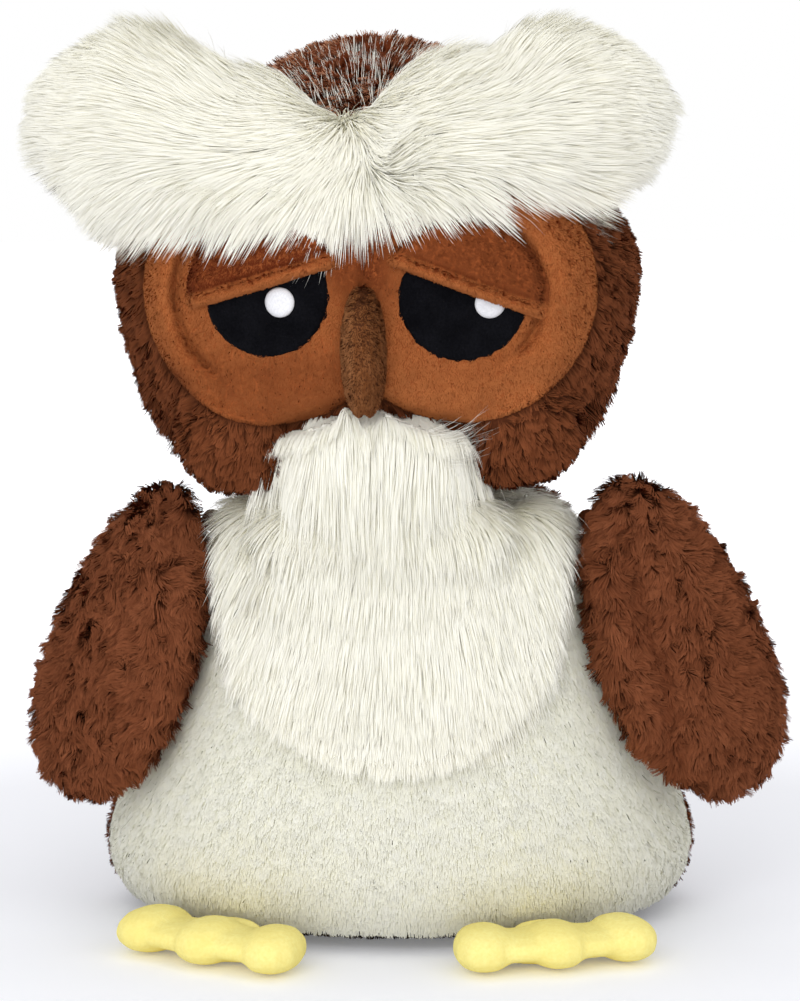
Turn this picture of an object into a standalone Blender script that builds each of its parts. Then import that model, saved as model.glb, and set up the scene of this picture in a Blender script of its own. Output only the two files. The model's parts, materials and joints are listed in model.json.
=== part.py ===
"""Plush owl: sewn fabric panels over stuffing. Its neck, wings, feet, beak and brow tips move.

Metres, +Z up. The owl looks along -Y and stands on Z = 0. Left and right are the owl's own, so left is +X.
Every soft layer lies a small gap inside or outside its neighbour, so that each piece is a solid of its own.
"""

import math

import bmesh
import bpy
from mathutils import Matrix, Vector

# Cloth, clearances and the overrun of cutters
CLOTH = 0.003  # short plush with its pile pressed down
SUEDE = 0.0016
FELT = 0.0012
GAP = 0.0004  # between two layers
SEAM_GAP = 0.0006  # between two panels of one skin
OVERRUN = 0.004
FAR = 0.4  # longer than anything a cutter has to pass
ROD_SEGMENTS = 32
OUTLINE_STEPS = 5  # between two points of a flat outline
SHARP_ANGLE = math.radians(40.0)

# A rounded block's form is how square it is seen from above, over its upper half and over its lower half
# (2 is round), and how much narrower it gets towards its top and how much wider towards its bottom, as shares
ROUND = (2.0, 2.0, 2.0, 0.0, 0.0)

# Segments and rings of a rounded block. Inner surfaces, which nothing shows, are coarser
CORE_MESH = (16, 10)
SMALL_CORE_MESH = (10, 6)

# Body: a bell, turned and then flattened front to back
BODY_HALF_WIDTH = 0.0972
BODY_HALF_DEPTH = 0.066
BODY_HEIGHT = 0.140
BODY_STEPS = 32
BODY_SIDE_SHARES = (  # radius and height, from the shoulder down to the base seam
    (0.345, 0.996),
    (0.480, 0.976),
    (0.580, 0.928),
    (0.645, 0.843),
    (0.705, 0.714),
    (0.785, 0.571),
    (0.875, 0.429),
    (0.960, 0.286),
    (1.000, 0.180),
    (0.990, 0.110),
    (0.945, 0.056),
)
BODY_BASE_SHARES = ((0.900, 0.030), (0.820, 0.008), (0.720, 0.0))

# Pouch of plastic pellets that weighs the base
POUCH_HALF_WIDTH = 0.052
POUCH_HEIGHT = 0.030
POUCH_CLOTH = 0.001
POUCH_SIDE_SHARES = ((0.45, 1.0), (0.78, 0.93), (0.95, 0.75), (1.0, 0.5))

# White chest fur on the belly panel
BIB_PILE = 0.009
BIB_SHIFT = -0.003  # sideways, as it lies on this owl
BIB_TOP_DROP = 0.003  # below the body's top
BIB_HEIGHT = 0.079
BIB_HALF_WIDTH = 0.0530
BIB_OUTLINE_SHARES = (  # across, and from its bottom (0) to its top (1)
    (0.0, 0.0),
    (0.50, 0.07),
    (0.86, 0.35),
    (1.0, 0.72),
    (0.94, 0.97),
    (0.5, 1.0),
    (0.0, 1.0),
)

# Neck: a ball of stuffing in two sockets, drawn in by a ring of thread
NECK_BALL_RADIUS = 0.014
NECK_RISE = 0.0025  # of its centre above the body's top
NECK_ROOM = 0.0040  # round the thread, to the edges of the body's and the head's cloth
THREAD_RADIUS = 0.0011
NECK_HOLE_RADIUS = NECK_BALL_RADIUS + GAP + 2 * THREAD_RADIUS + NECK_ROOM

# Head, in its own frame about its middle
HEAD_HALF_WIDTH = 0.0845
HEAD_HALF_DEPTH = 0.064
HEAD_HALF_HEIGHT = 0.070
HEAD_FORM = (2.1, 2.0, 2.9, 0.30, -0.04)  # as in the shapes below
HEAD_LIFT = 0.004  # of its underside above the body's top
HEAD_SHIFT = -0.0075
HEAD_TURN = math.radians(-3.5)
HEAD_ROLL = math.radians(-1.0)
HEAD_MESH = (30, 18)

# Face: two overlapping round panels in a hole in the head, and the slot for the white chin below them
FACE_RADIUS = 0.041
FACE_SPREAD = 0.030
FACE_DROP = 0.007
CHIN_HALF_WIDTH = 0.031
CHIN_PILE = 0.007
CHIN_FOOT = 0.0045  # above the head's underside
CHIN_TOP_SHARE = -0.30  # of the head's half height
CHIN_BACK_SHARE = 0.34  # of the head's half depth, measured forward from its middle

# Eyes: felt half moons with a round highlight, under padded lids
EYE_RADIUS = 0.0195
EYE_DROP = 0.0070
EYE_SPREADS = {"left": 0.0305, "right": 0.0300}
EYE_RISES = {"left": 0.0010, "right": -0.0010}
LID_SLOPES = {"left": math.radians(20.0), "right": math.radians(16.0)}
LID_LINE_RISE = 0.0020
LID_RADIUS = 0.0265
LID_THICKNESS = 0.0050
HIGHLIGHT_RADIUS = 0.0046
HIGHLIGHT_THICKNESS = 0.0008
HIGHLIGHT_PLACES = {"left": (0.0085, -0.0042), "right": (0.0049, -0.0035)}

# Beak: a stuffed suede hook
BEAK_HALF_WIDTH = 0.0072
BEAK_HALF_DEPTH = 0.0165
BEAK_HALF_LENGTH = 0.0212
BEAK_DROP = 0.0235
BEAK_LEAN = math.radians(-14.0)
BEAK_FORWARD = 0.064
BEAK_CLEARANCE = 0.0008
BEAK_FORM = (2.2, 2.2, 2.2, 0.0, 0.0)
BEAK_MESH = (14, 10)

# Brows: long white fur, sewn down on the forehead, with a free stuffed tip past each side of the head
BROW_CLOTH = 0.006
BROW_CENTRE = -0.006  # sideways, where the two brows meet
BROW_REACHES = {"left": 0.098, "right": 0.112}
BROW_HALF_WIDTH = 0.056
BROW_HALF_DEPTH = 0.027
BROW_HALF_HEIGHT = 0.029
BROW_OUT = 0.036
BROW_FORWARD = 0.036
BROW_RISE = 0.036
BROW_TURN = math.radians(22.0)  # back towards its outer end
BROW_ROLL = math.radians(10.0)  # up towards its outer end
TIP_HALF_WIDTH = 0.032
TIP_HALF_DEPTH = 0.025
TIP_HALF_HEIGHT = 0.033
TIP_FORWARD = 0.017
TIP_RISE = 0.046
TIP_JOINT = 0.060  # sideways place of its joint
TIP_CLEARANCE = 0.006  # from the head, so that the tip can flop
TIP_KNUCKLE_RADIUS = 0.008
TIP_KNUCKLE_LENGTH = 0.034
TIP_SWING = math.radians(17.0)  # room for the flop on each side, with two degrees to spare
BROW_MESH = (20, 12)

# Wings, in their own frame about the shoulder
WING_HALF_WIDTH = 0.0285
WING_HALF_THICKNESS = 0.0115
WING_HALF_LENGTH = 0.0540
WING_FORM = (2.2, 2.3, 2.3, 0.26, 0.10)
WING_INNER_EDGE = 0.0190  # from the shoulder towards the belly
WING_BACK = 0.0010  # of its back in front of the shoulder
WING_TOP = 0.0090  # above the shoulder
WING_SPLAYS = {"left": math.radians(21.0), "right": math.radians(18.0)}
WING_TURNS = {"left": math.radians(26.0), "right": math.radians(35.0)}
WING_LEAN = math.radians(12.0)
SHOULDER_HEIGHT = 0.1275  # where the tab is sewn to the body
SHOULDER_FORWARD = math.radians(6.0)  # round the body, from its side towards its front
TAB_RADIUS = 0.0036
TAB_ARM_RADIUS = 0.0020
TAB_ARM_LENGTH = 0.0105  # forward from the tab's middle into the wing
TAB_MESH = (10, 6)
WING_MESH = (18, 12)

# Feet, in their own frames about the hinge seam at the back of the heel
TOE_HALF_WIDTH = 0.0102
TOE_HALF_LENGTH = 0.0140
TOE_HEIGHT = 0.0150
TOE_FORM = (2.2, 2.2, 2.2, 0.0, 0.0)
TOE_SPACING = 0.0188
TOE_FAN = math.radians(14.0)
TOE_SET_BACK = 0.0015  # of the outer toes
TOE_REACH = 0.0150  # of a toe's middle past the hinge
HEEL_HALF_WIDTH = 0.0230
HEEL_HALF_LENGTH = 0.0090
HEEL_REACH = 0.0105  # of the heel's middle past the hinge
HEEL_HEIGHT = 0.0128
ROLL_RADIUS = 0.0032  # sewn roll at the back of the heel, round the hinge
ROLL_HALF_LENGTH = 0.0100
FOOT_SEAM_HEIGHT = 0.0100  # where the roll is sewn to the belly
FOOT_ANGLES = {"left": math.radians(-62.5), "right": math.radians(-122.2)}  # round the body, from +X
FOOT_TURNS = {"left": math.radians(15.0), "right": math.radians(-32.0)}
TOE_MESH = (12, 8)

SIDES = {"left": 1.0, "right": -1.0}


# Materials

def material(name, colour, roughness):
    made = bpy.data.materials.new(name)
    made.use_nodes = True
    shader = made.node_tree.nodes["Principled BSDF"]
    shader.inputs["Base Color"].default_value = (*colour, 1.0)
    shader.inputs["Roughness"].default_value = roughness
    shader.inputs["Metallic"].default_value = 0.0
    made.diffuse_color = (*colour, 1.0)
    return made


def make_materials():
    return {
        "brown_plush": material("brown_plush", (0.13, 0.045, 0.022), 0.95),
        "cream_plush": material("cream_plush", (0.80, 0.76, 0.62), 0.95),
        "white_fur": material("white_fur", (0.86, 0.85, 0.79), 0.9),
        "tan_velboa": material("tan_velboa", (0.30, 0.085, 0.022), 0.8),
        "black_felt": material("black_felt", (0.006, 0.006, 0.008), 0.9),
        "white_felt": material("white_felt", (0.82, 0.82, 0.84), 0.8),
        "beak_suede": material("beak_suede", (0.13, 0.045, 0.016), 0.85),
        "yellow_velboa": material("yellow_velboa", (0.90, 0.72, 0.16), 0.8),
        "dark_base": material("dark_base", (0.035, 0.022, 0.018), 0.95),
        "stuffing": material("stuffing", (0.85, 0.85, 0.85), 1.0),
        "pouch_cloth": material("pouch_cloth", (0.6, 0.6, 0.58), 0.9),
        "pellets": material("pellets", (0.7, 0.7, 0.72), 0.4),
        "thread": material("thread", (0.08, 0.03, 0.02), 0.8),
    }


# Objects and meshes

def clear_scene():
    for thing in list(bpy.data.objects):
        bpy.data.objects.remove(thing)


def collection_named(name):
    made = bpy.data.collections.new(name)
    bpy.context.scene.collection.children.link(made)
    return made


def object_of(bm, name="helper"):
    """A new object that holds this bmesh, in the helpers' collection."""
    bmesh.ops.recalc_face_normals(bm, faces=bm.faces)
    mesh = bpy.data.meshes.new(name)
    bm.to_mesh(mesh)
    bm.free()
    made = bpy.data.objects.new(name, mesh)
    HELPERS.objects.link(made)
    return made


def bake_modifiers(thing):
    """Replaces the object's mesh by what its modifiers make of it."""
    graph = bpy.context.evaluated_depsgraph_get()
    graph.update()
    mesh = bpy.data.meshes.new_from_object(thing.evaluated_get(graph))
    thing.modifiers.clear()
    thing.data = mesh
    return thing


def boolean(thing, other, operation, keep=False):
    """Cuts or joins with the exact solver. The other object goes, unless it is kept for a later cut."""
    change = thing.modifiers.new(operation.lower(), "BOOLEAN")
    change.operation = operation
    change.solver = "EXACT"
    change.object = other
    bake_modifiers(thing)
    if not keep:
        bpy.data.objects.remove(other)
    return thing


def cut(thing, *others, keep=False):
    for other in others:
        boolean(thing, other, "DIFFERENCE", keep)
    return thing


def inside(thing, other):
    return boolean(thing, other, "INTERSECT")


def joined(thing, *others):
    for other in others:
        boolean(thing, other, "UNION")
    return thing


def moved(thing, matrix):
    thing.data.transform(matrix)
    return thing


def copy_of(thing):
    made = bpy.data.objects.new("helper", thing.data.copy())
    HELPERS.objects.link(made)
    return made


def finish(thing, name, slot, parent=None):
    """Names a finished piece, gives it material and smooth shading, and puts it in the owl's collection."""
    thing.name = name
    thing.data.name = name
    thing.data.materials.clear()
    thing.data.materials.append(MATERIALS[slot])
    thing.data.shade_smooth()
    thing.data.set_sharp_from_angle(angle=SHARP_ANGLE)
    HELPERS.objects.unlink(thing)
    OWL.objects.link(thing)
    if parent is not None:
        thing.parent = parent
    return thing


def joint_empty(name, place, rotation=None, parent=None):
    made = bpy.data.objects.new(name, None)
    OWL.objects.link(made)
    made.parent = parent
    turn = rotation if rotation is not None else Matrix.Identity(4)
    made.matrix_local = Matrix.Translation(Vector(place)) @ turn
    return made


# Basic shapes

def squared(a, b, squareness):
    """Moves a point of the unit circle out to a squarer one."""
    size = (abs(a) ** squareness + abs(b) ** squareness) ** (1.0 / squareness)
    return a / size, b / size


def ball(half_sizes, form, segments_rings):
    """A rounded block of this form, about the origin."""
    around, above, below, upper_taper, lower_taper = form
    segments, rings = segments_rings
    bm = bmesh.new()
    bmesh.ops.create_uvsphere(bm, u_segments=segments, v_segments=rings, radius=1.0)
    for vertex in bm.verts:
        x, y, z = vertex.co
        radius, z = squared(math.hypot(x, y), z, above if z > 0.0 else below)
        x, y = squared(x, y, around) if radius > 0.0 else (x, y)
        across = 1.0 - z * (upper_taper if z > 0.0 else lower_taper)
        scaled = (x * radius * across, y * radius, z)
        vertex.co = Vector(c * size for c, size in zip(scaled, half_sizes))
    bmesh.ops.triangulate(bm, faces=bm.faces, quad_method="FIXED")
    return object_of(bm)


def block(low, high):
    bm = bmesh.new()
    bmesh.ops.create_cube(bm, size=1.0)
    middle = (Vector(low) + Vector(high)) / 2
    size = Vector(high) - Vector(low)
    bmesh.ops.transform(
        bm, verts=bm.verts, matrix=Matrix.Translation(middle) @ Matrix.Diagonal((*size, 1.0))
    )
    return object_of(bm)


def rod(radius, length):
    """A capped cylinder about the origin, along Y."""
    bm = bmesh.new()
    bmesh.ops.create_cone(
        bm, cap_ends=True, segments=ROD_SEGMENTS, radius1=radius, radius2=radius, depth=length
    )
    bmesh.ops.transform(bm, verts=bm.verts, matrix=Matrix.Rotation(math.pi / 2, 4, "X"))
    return object_of(bm)


def plate(outline, thickness):
    """A flat outline in X and Z, smoothed by its curve and as thick as asked along Y, about Y = 0."""
    curve = bpy.data.curves.new("outline", "CURVE")
    curve.dimensions = "2D"
    curve.fill_mode = "BOTH"
    curve.extrude = thickness / 2
    curve.resolution_u = OUTLINE_STEPS
    spline = curve.splines.new("BEZIER")
    spline.bezier_points.add(len(outline) - 1)
    for point, (x, z) in zip(spline.bezier_points, outline):
        point.co = (x, z, 0.0)
        point.handle_left_type = "AUTO"
        point.handle_right_type = "AUTO"
    spline.use_cyclic_u = True
    holder = bpy.data.objects.new("outline", curve)
    HELPERS.objects.link(holder)
    graph = bpy.context.evaluated_depsgraph_get()
    graph.update()
    mesh = bpy.data.meshes.new_from_object(holder.evaluated_get(graph))
    bpy.data.objects.remove(holder)
    bm = bmesh.new()
    bm.from_mesh(mesh)
    bmesh.ops.remove_doubles(bm, verts=bm.verts, dist=GAP / 4)
    bmesh.ops.transform(bm, verts=bm.verts, matrix=Matrix.Rotation(math.pi / 2, 4, "X"))
    return object_of(bm)


def mirrored_outline(points):
    """The outline of a shape from its +X half, which starts and ends on the middle line."""
    return [*points, *[(-x, z) for x, z in reversed(points[1:-1])]]


# Turned shapes

def inset(profile, depth):
    """A turned profile moved inwards, square to itself, by this depth."""
    found = []
    for i, (r, z) in enumerate(profile):
        before = Vector(profile[max(i - 1, 0)])
        after = Vector(profile[min(i + 1, len(profile) - 1)])
        along = (after - before).normalized()
        found.append((r + along.y * depth, z - along.x * depth))
    return found


def turned(profile, closed, sweep=2 * math.pi, start=0.0, steps=BODY_STEPS, depth_share=1.0):
    """A profile of radius and height, turned about Z by a Screw modifier and flattened front to back."""
    bm = bmesh.new()
    verts = [bm.verts.new((r, 0.0, z)) for r, z in profile]
    for a, b in zip(verts, verts[1:]):
        bm.edges.new((a, b))
    if closed:
        bm.edges.new((verts[-1], verts[0]))
    mesh = bpy.data.meshes.new("profile")
    bm.to_mesh(mesh)
    bm.free()
    holder = bpy.data.objects.new("profile", mesh)
    HELPERS.objects.link(holder)
    screw = holder.modifiers.new("turn", "SCREW")
    screw.angle = sweep
    screw.steps = steps
    screw.render_steps = steps
    screw.use_merge_vertices = True
    screw.merge_threshold = GAP / 40
    bake_modifiers(holder)
    bm = bmesh.new()
    bm.from_mesh(holder.data)
    bpy.data.objects.remove(holder)
    bmesh.ops.remove_doubles(bm, verts=bm.verts, dist=GAP / 40)
    open_edges = [edge for edge in bm.edges if edge.is_boundary]
    if open_edges:
        bmesh.ops.holes_fill(bm, edges=open_edges)
    flatten = Matrix.Diagonal((1.0, depth_share, 1.0, 1.0))
    bmesh.ops.transform(
        bm, verts=bm.verts, matrix=flatten @ Matrix.Rotation(start, 4, "Z")
    )
    return object_of(bm)


def turned_whole(profile, steps=BODY_STEPS // 2):
    """A turned shape that closes on the axis, flattened like the body. Inner pieces take half its steps."""
    return turned(profile, False, steps=steps, depth_share=FLATTEN)


# Body

FLATTEN = BODY_HALF_DEPTH / BODY_HALF_WIDTH


def body_profile(depth=0.0):
    """The body's section from the neck's edge to the middle of its base, this deep below its skin."""
    shares = [*BODY_SIDE_SHARES, *BODY_BASE_SHARES]
    points = [(r * BODY_HALF_WIDTH, z * BODY_HEIGHT) for r, z in shares]
    points = inset([(NECK_HOLE_RADIUS, BODY_HEIGHT), *points, (0.0, 0.0)], depth)
    return [*points[:-1], (0.0, depth)]


SIDE_POINTS = len(BODY_SIDE_SHARES) + 1


def skin_point(angle, height):
    """The point of the body's skin at this angle round from +X and this height, and the way out from it."""
    side = body_profile()[:SIDE_POINTS]
    for (r1, z1), (r2, z2) in zip(side, side[1:]):
        if z2 <= height <= z1:
            break
    radius = r1 + (r2 - r1) * (z1 - height) / (z1 - z2)
    across, along = math.cos(angle), math.sin(angle)
    point = Vector((radius * across, radius * FLATTEN * along, height))
    outward = Vector((across * (z1 - z2), along * (z1 - z2) / FLATTEN, r2 - r1))
    return point, outward.normalized()


def body_panel(sweep, start, steps):
    outer = body_profile()[:SIDE_POINTS]
    inner = body_profile(CLOTH)[:SIDE_POINTS]
    return turned([*outer, *reversed(inner)], True, sweep, start, steps, FLATTEN)


def make_body_panels():
    """The cream belly over the front half, and two brown back panels that meet in a seam behind."""
    seam_angle = SEAM_GAP / (BODY_HALF_WIDTH * BODY_SIDE_SHARES[1][0])
    half = BODY_STEPS // 2
    belly = body_panel(math.pi - seam_angle, math.pi + seam_angle / 2, half)
    finish(belly, "belly_panel", "cream_plush")
    for side, start in (("left", 0.0), ("right", math.pi / 2)):
        panel = body_panel(math.pi / 2 - seam_angle, start + seam_angle / 2, half // 2)
        finish(panel, f"back_panel_{side}", "brown_plush")


def make_base_panel():
    outer = body_profile()[SIDE_POINTS - 1 :]
    inner = body_profile(CLOTH)[SIDE_POINTS - 1 :]
    outer[0] = (outer[0][0], outer[0][1] - SEAM_GAP)
    inner[0] = (inner[0][0], inner[0][1] - SEAM_GAP)
    section = [*reversed(outer), *inner]
    finish(turned_whole(section, BODY_STEPS), "base_panel", "dark_base")


def pouch_profile(shrink):
    side = [(r * POUCH_HALF_WIDTH, z * POUCH_HEIGHT) for r, z in POUCH_SIDE_SHARES]
    return [(r - shrink, z - shrink) for r, z in side]


def make_pouch():
    """A pouch of pellets on the base panel: a domed top, a flat bottom and the pellets in it."""
    floor = CLOTH + GAP
    lift = Matrix.Translation((0.0, 0.0, floor))
    outer = pouch_profile(0.0)
    inner = pouch_profile(POUCH_CLOTH)
    foot = POUCH_CLOTH + GAP
    section = [
        (0.0, POUCH_HEIGHT),
        *outer,
        (POUCH_HALF_WIDTH, foot),
        (POUCH_HALF_WIDTH - POUCH_CLOTH, foot),
        *reversed(inner),
        (0.0, POUCH_HEIGHT - POUCH_CLOTH),
    ]
    top = moved(turned_whole(section), lift)
    finish(top, "pellet_pouch_top", "pouch_cloth")
    sheet = [
        (0.0, POUCH_CLOTH),
        (POUCH_HALF_WIDTH, POUCH_CLOTH),
        (POUCH_HALF_WIDTH, 0.0),
        (0.0, 0.0),
    ]
    bottom = moved(turned_whole(sheet), lift)
    finish(bottom, "pellet_pouch_base", "pouch_cloth")
    shrink = POUCH_CLOTH + GAP / FLATTEN
    fill = pouch_profile(shrink)
    section = [(0.0, POUCH_HEIGHT - shrink), *fill, (fill[-1][0], foot), (0.0, foot)]
    finish(moved(turned_whole(section), lift), "pellet_fill", "pellets")


def make_body_stuffing():
    """The body's stuffing, with a hollow below for the pouch and a socket above for the neck."""
    room = CLOTH + GAP / FLATTEN
    wall = body_profile(room)
    core = turned_whole([(0.0, wall[0][1]), *wall])
    base = CLOTH + GAP * 2
    hollow = [
        (0.0, POUCH_HEIGHT + base),
        *[(r + GAP / FLATTEN, z + base) for r, z in pouch_profile(0.0)],
        (POUCH_HALF_WIDTH + GAP / FLATTEN, -OVERRUN),
        (0.0, -OVERRUN),
    ]
    cut(core, turned_whole(hollow))
    cut(core, neck_socket(NECK_BALL_RADIUS + GAP))
    finish(core, "body_stuffing", "stuffing")


def make_bib():
    """White fur on the chest: a layer over the belly panel, cut to the fur's outline."""
    outer = body_profile(-BIB_PILE)[:SIDE_POINTS]
    inner = body_profile(-GAP / FLATTEN)[:SIDE_POINTS]
    section = [*outer, *reversed(inner)]
    layer = turned(section, True, math.pi, math.pi, BODY_STEPS // 2, FLATTEN)
    low = BODY_HEIGHT - BIB_TOP_DROP - BIB_HEIGHT
    points = [(x * BIB_HALF_WIDTH, low + z * BIB_HEIGHT) for x, z in BIB_OUTLINE_SHARES]
    outline = plate(mirrored_outline(points), FAR)
    inside(layer, moved(outline, Matrix.Translation((BIB_SHIFT, 0.0, 0.0))))
    finish(layer, "chest_bib", "white_fur")


# Neck

def neck_place():
    return Vector((0.0, 0.0, BODY_HEIGHT + NECK_RISE))


def neck_socket(radius):
    socket = ball((radius, radius, radius), ROUND, CORE_MESH)
    return moved(socket, Matrix.Translation(neck_place()))


def make_neck():
    finish(neck_socket(NECK_BALL_RADIUS), "neck_stuffing", "stuffing")
    middle = NECK_BALL_RADIUS + GAP + THREAD_RADIUS
    curve = bpy.data.curves.new("thread", "CURVE")
    curve.dimensions = "3D"
    curve.bevel_depth = THREAD_RADIUS
    curve.bevel_resolution = 2
    spline = curve.splines.new("POLY")
    steps = CORE_MESH[0]
    spline.points.add(steps - 1)
    for i, point in enumerate(spline.points):
        angle = 2 * math.pi * i / steps
        point.co = (middle * math.cos(angle), middle * math.sin(angle), 0.0, 1.0)
    spline.use_cyclic_u = True
    holder = bpy.data.objects.new("thread", curve)
    HELPERS.objects.link(holder)
    graph = bpy.context.evaluated_depsgraph_get()
    graph.update()
    bm = bmesh.new()
    bm.from_mesh(bpy.data.meshes.new_from_object(holder.evaluated_get(graph)))
    bpy.data.objects.remove(holder)
    bmesh.ops.translate(bm, verts=bm.verts, vec=neck_place())
    finish(object_of(bm), "neck_thread", "thread")


# Head

def head_ball(grow, mesh=HEAD_MESH):
    half = (HEAD_HALF_WIDTH + grow, HEAD_HALF_DEPTH + grow, HEAD_HALF_HEIGHT + grow)
    return ball(half, HEAD_FORM, mesh)


def head_centre():
    return Vector((HEAD_SHIFT, 0.0, BODY_HEIGHT + HEAD_LIFT + HEAD_HALF_HEIGHT))


def head_matrix():
    turn = Matrix.Rotation(HEAD_TURN, 4, "Z") @ Matrix.Rotation(HEAD_ROLL, 4, "Y")
    return Matrix.Translation(head_centre()) @ turn


def in_head(thing):
    """Brings a shape that was made in the world's place into the head's own frame."""
    return moved(thing, head_matrix().inverted())


def face_prism(shrink):
    """The face opening as two overlapping rods through the front of the head."""
    made = None
    for sign in SIDES.values():
        disc = rod(FACE_RADIUS - shrink, HEAD_HALF_DEPTH * 2)
        place = (sign * FACE_SPREAD, -HEAD_HALF_DEPTH, -FACE_DROP)
        moved(disc, Matrix.Translation(place))
        made = joined(made, disc) if made else disc
    return made


def chin_prism(shrink, low):
    top = CHIN_TOP_SHARE * HEAD_HALF_HEIGHT
    back = -CHIN_BACK_SHARE * HEAD_HALF_DEPTH
    half = CHIN_HALF_WIDTH - shrink
    return block((-half, -FAR, low), (half, back - shrink, top))


def half_space(sign, gap=SEAM_GAP):
    """The other side of the middle from this sign, and half a seam: cut away, it leaves a half."""
    low = (-FAR, -FAR, -FAR) if sign > 0 else (-gap / 2, -FAR, -FAR)
    high = (gap / 2, FAR, FAR) if sign > 0 else (FAR, FAR, FAR)
    return block(low, high)


def make_head(parent):
    skin = cut(head_ball(0.0), head_ball(-CLOTH, CORE_MESH))
    upright = Matrix.Translation(neck_place()) @ Matrix.Rotation(math.pi / 2, 4, "X")
    neck_hole = in_head(moved(rod(NECK_HOLE_RADIUS, HEAD_HALF_HEIGHT), upright))
    face_skin = inside(copy_of(skin), face_prism(SEAM_GAP))
    cut(skin, face_prism(0.0), chin_prism(0.0, -FAR), neck_hole)
    for side, sign in SIDES.items():
        panel = cut(copy_of(skin), half_space(sign))
        finish(panel, f"head_panel_{side}", "brown_plush", parent)
        panel = cut(copy_of(face_skin), half_space(sign))
        finish(panel, f"face_panel_{side}", "tan_velboa", parent)
    bpy.data.objects.remove(skin)
    bpy.data.objects.remove(face_skin)


def make_head_stuffing(parent):
    core = head_ball(-CLOTH - GAP, CORE_MESH)
    cut(core, in_head(neck_socket(NECK_BALL_RADIUS + GAP)))
    finish(core, "head_stuffing", "stuffing", parent)


def make_chin(parent):
    """White fur between the cheeks, from the face down to the neck."""
    pad = cut(head_ball(CHIN_PILE), head_ball(-CLOTH))
    inside(pad, chin_prism(SEAM_GAP, CHIN_FOOT - HEAD_HALF_HEIGHT))
    cut(pad, face_prism(-SEAM_GAP), beak_room())
    finish(pad, "chin_bib", "white_fur", parent)


# Eyes

def eye_place(side):
    sign = SIDES[side]
    return Vector((sign * EYE_SPREADS[side], 0.0, EYE_RISES[side] - EYE_DROP))


def below_lid(side, gap):
    """Everything below the lid's line, which falls towards the outside."""
    sign = SIDES[side]
    half = block((-FAR, -FAR, -FAR), (FAR, 0.0, -gap))
    turn = Matrix.Rotation(sign * LID_SLOPES[side], 4, "Y")
    place = eye_place(side) + Vector((0.0, 0.0, LID_LINE_RISE))
    return moved(half, Matrix.Translation(place) @ turn)


def eye_rod(side, radius, offset=(0.0, 0.0)):
    place = eye_place(side) + Vector((offset[0], -HEAD_HALF_DEPTH, offset[1]))
    return moved(rod(radius, HEAD_HALF_DEPTH * 2), Matrix.Translation(place))


def layer(low, high):
    """The skin between two heights above the head's surface."""
    return cut(head_ball(high), head_ball(low))


def make_eyes(parent):
    for side in SIDES:
        felt = inside(layer(GAP, GAP + FELT), eye_rod(side, EYE_RADIUS))
        inside(felt, below_lid(side, GAP))
        cut(felt, half_space(SIDES[side]), beak_room(), brow_pad(side, GAP))
        finish(felt, f"eye_{side}", "black_felt", parent)

        low = GAP * 2 + FELT
        dot = layer(low, low + HIGHLIGHT_THICKNESS)
        inside(dot, eye_rod(side, HIGHLIGHT_RADIUS, HIGHLIGHT_PLACES[side]))
        inside(dot, below_lid(side, GAP))
        finish(dot, f"highlight_{side}", "white_felt", parent)

        lid = inside(layer(GAP, GAP + LID_THICKNESS), eye_rod(side, LID_RADIUS))
        inside(lid, face_prism(SEAM_GAP))
        cut(lid, below_lid(side, 0.0), half_space(SIDES[side]), beak_room(), brow_pad(side, GAP))
        finish(lid, f"eyelid_{side}", "tan_velboa", parent)


# Beak

def beak_matrix():
    place = Matrix.Translation((0.0, -BEAK_FORWARD, -BEAK_DROP))
    return place @ Matrix.Rotation(BEAK_LEAN, 4, "X")


def beak_ball(grow):
    half = (BEAK_HALF_WIDTH + grow, BEAK_HALF_DEPTH + grow, BEAK_HALF_LENGTH + grow)
    return ball(half, BEAK_FORM, BEAK_MESH)


def beak_room():
    """What the pieces round the beak leave free for it."""
    return moved(beak_ball(BEAK_CLEARANCE), beak_matrix())


def make_beak(parent):
    """Two suede halves over stuffing, open at the back where the beak is sewn to the face."""
    to_parent = Matrix.Translation(-beak_root())
    core = cut(beak_ball(-SUEDE - GAP), moved(head_ball(GAP * 2), beak_matrix().inverted()))
    finish(moved(core, to_parent @ beak_matrix()), "beak_stuffing", "stuffing", parent)
    for side, sign in SIDES.items():
        shell = moved(cut(beak_ball(0.0), beak_ball(-SUEDE)), beak_matrix())
        cut(shell, half_space(sign), head_ball(GAP))
        finish(moved(shell, to_parent), f"beak_panel_{side}", "beak_suede", parent)


def beak_root():
    """The top of the beak on the head's surface, where it hinges."""
    return Vector((0.0, -HEAD_HALF_DEPTH, BEAK_HALF_LENGTH - BEAK_DROP))


# Brows

def tip_joint(side):
    return Vector((BROW_CENTRE + SIDES[side] * TIP_JOINT, -TIP_FORWARD, TIP_RISE))


def brow_pad(side, grow):
    """The whole of a brow's sewn part, as a long pad that wraps round the forehead."""
    sign = SIDES[side]
    half = (BROW_HALF_WIDTH + grow, BROW_HALF_DEPTH + grow, BROW_HALF_HEIGHT + grow)
    place = Matrix.Translation((BROW_CENTRE + sign * BROW_OUT, -BROW_FORWARD, BROW_RISE))
    turn = Matrix.Rotation(sign * BROW_TURN, 4, "Z") @ Matrix.Rotation(-sign * BROW_ROLL, 4, "Y")
    return moved(ball(half, ROUND, BROW_MESH), place @ turn)


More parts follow.
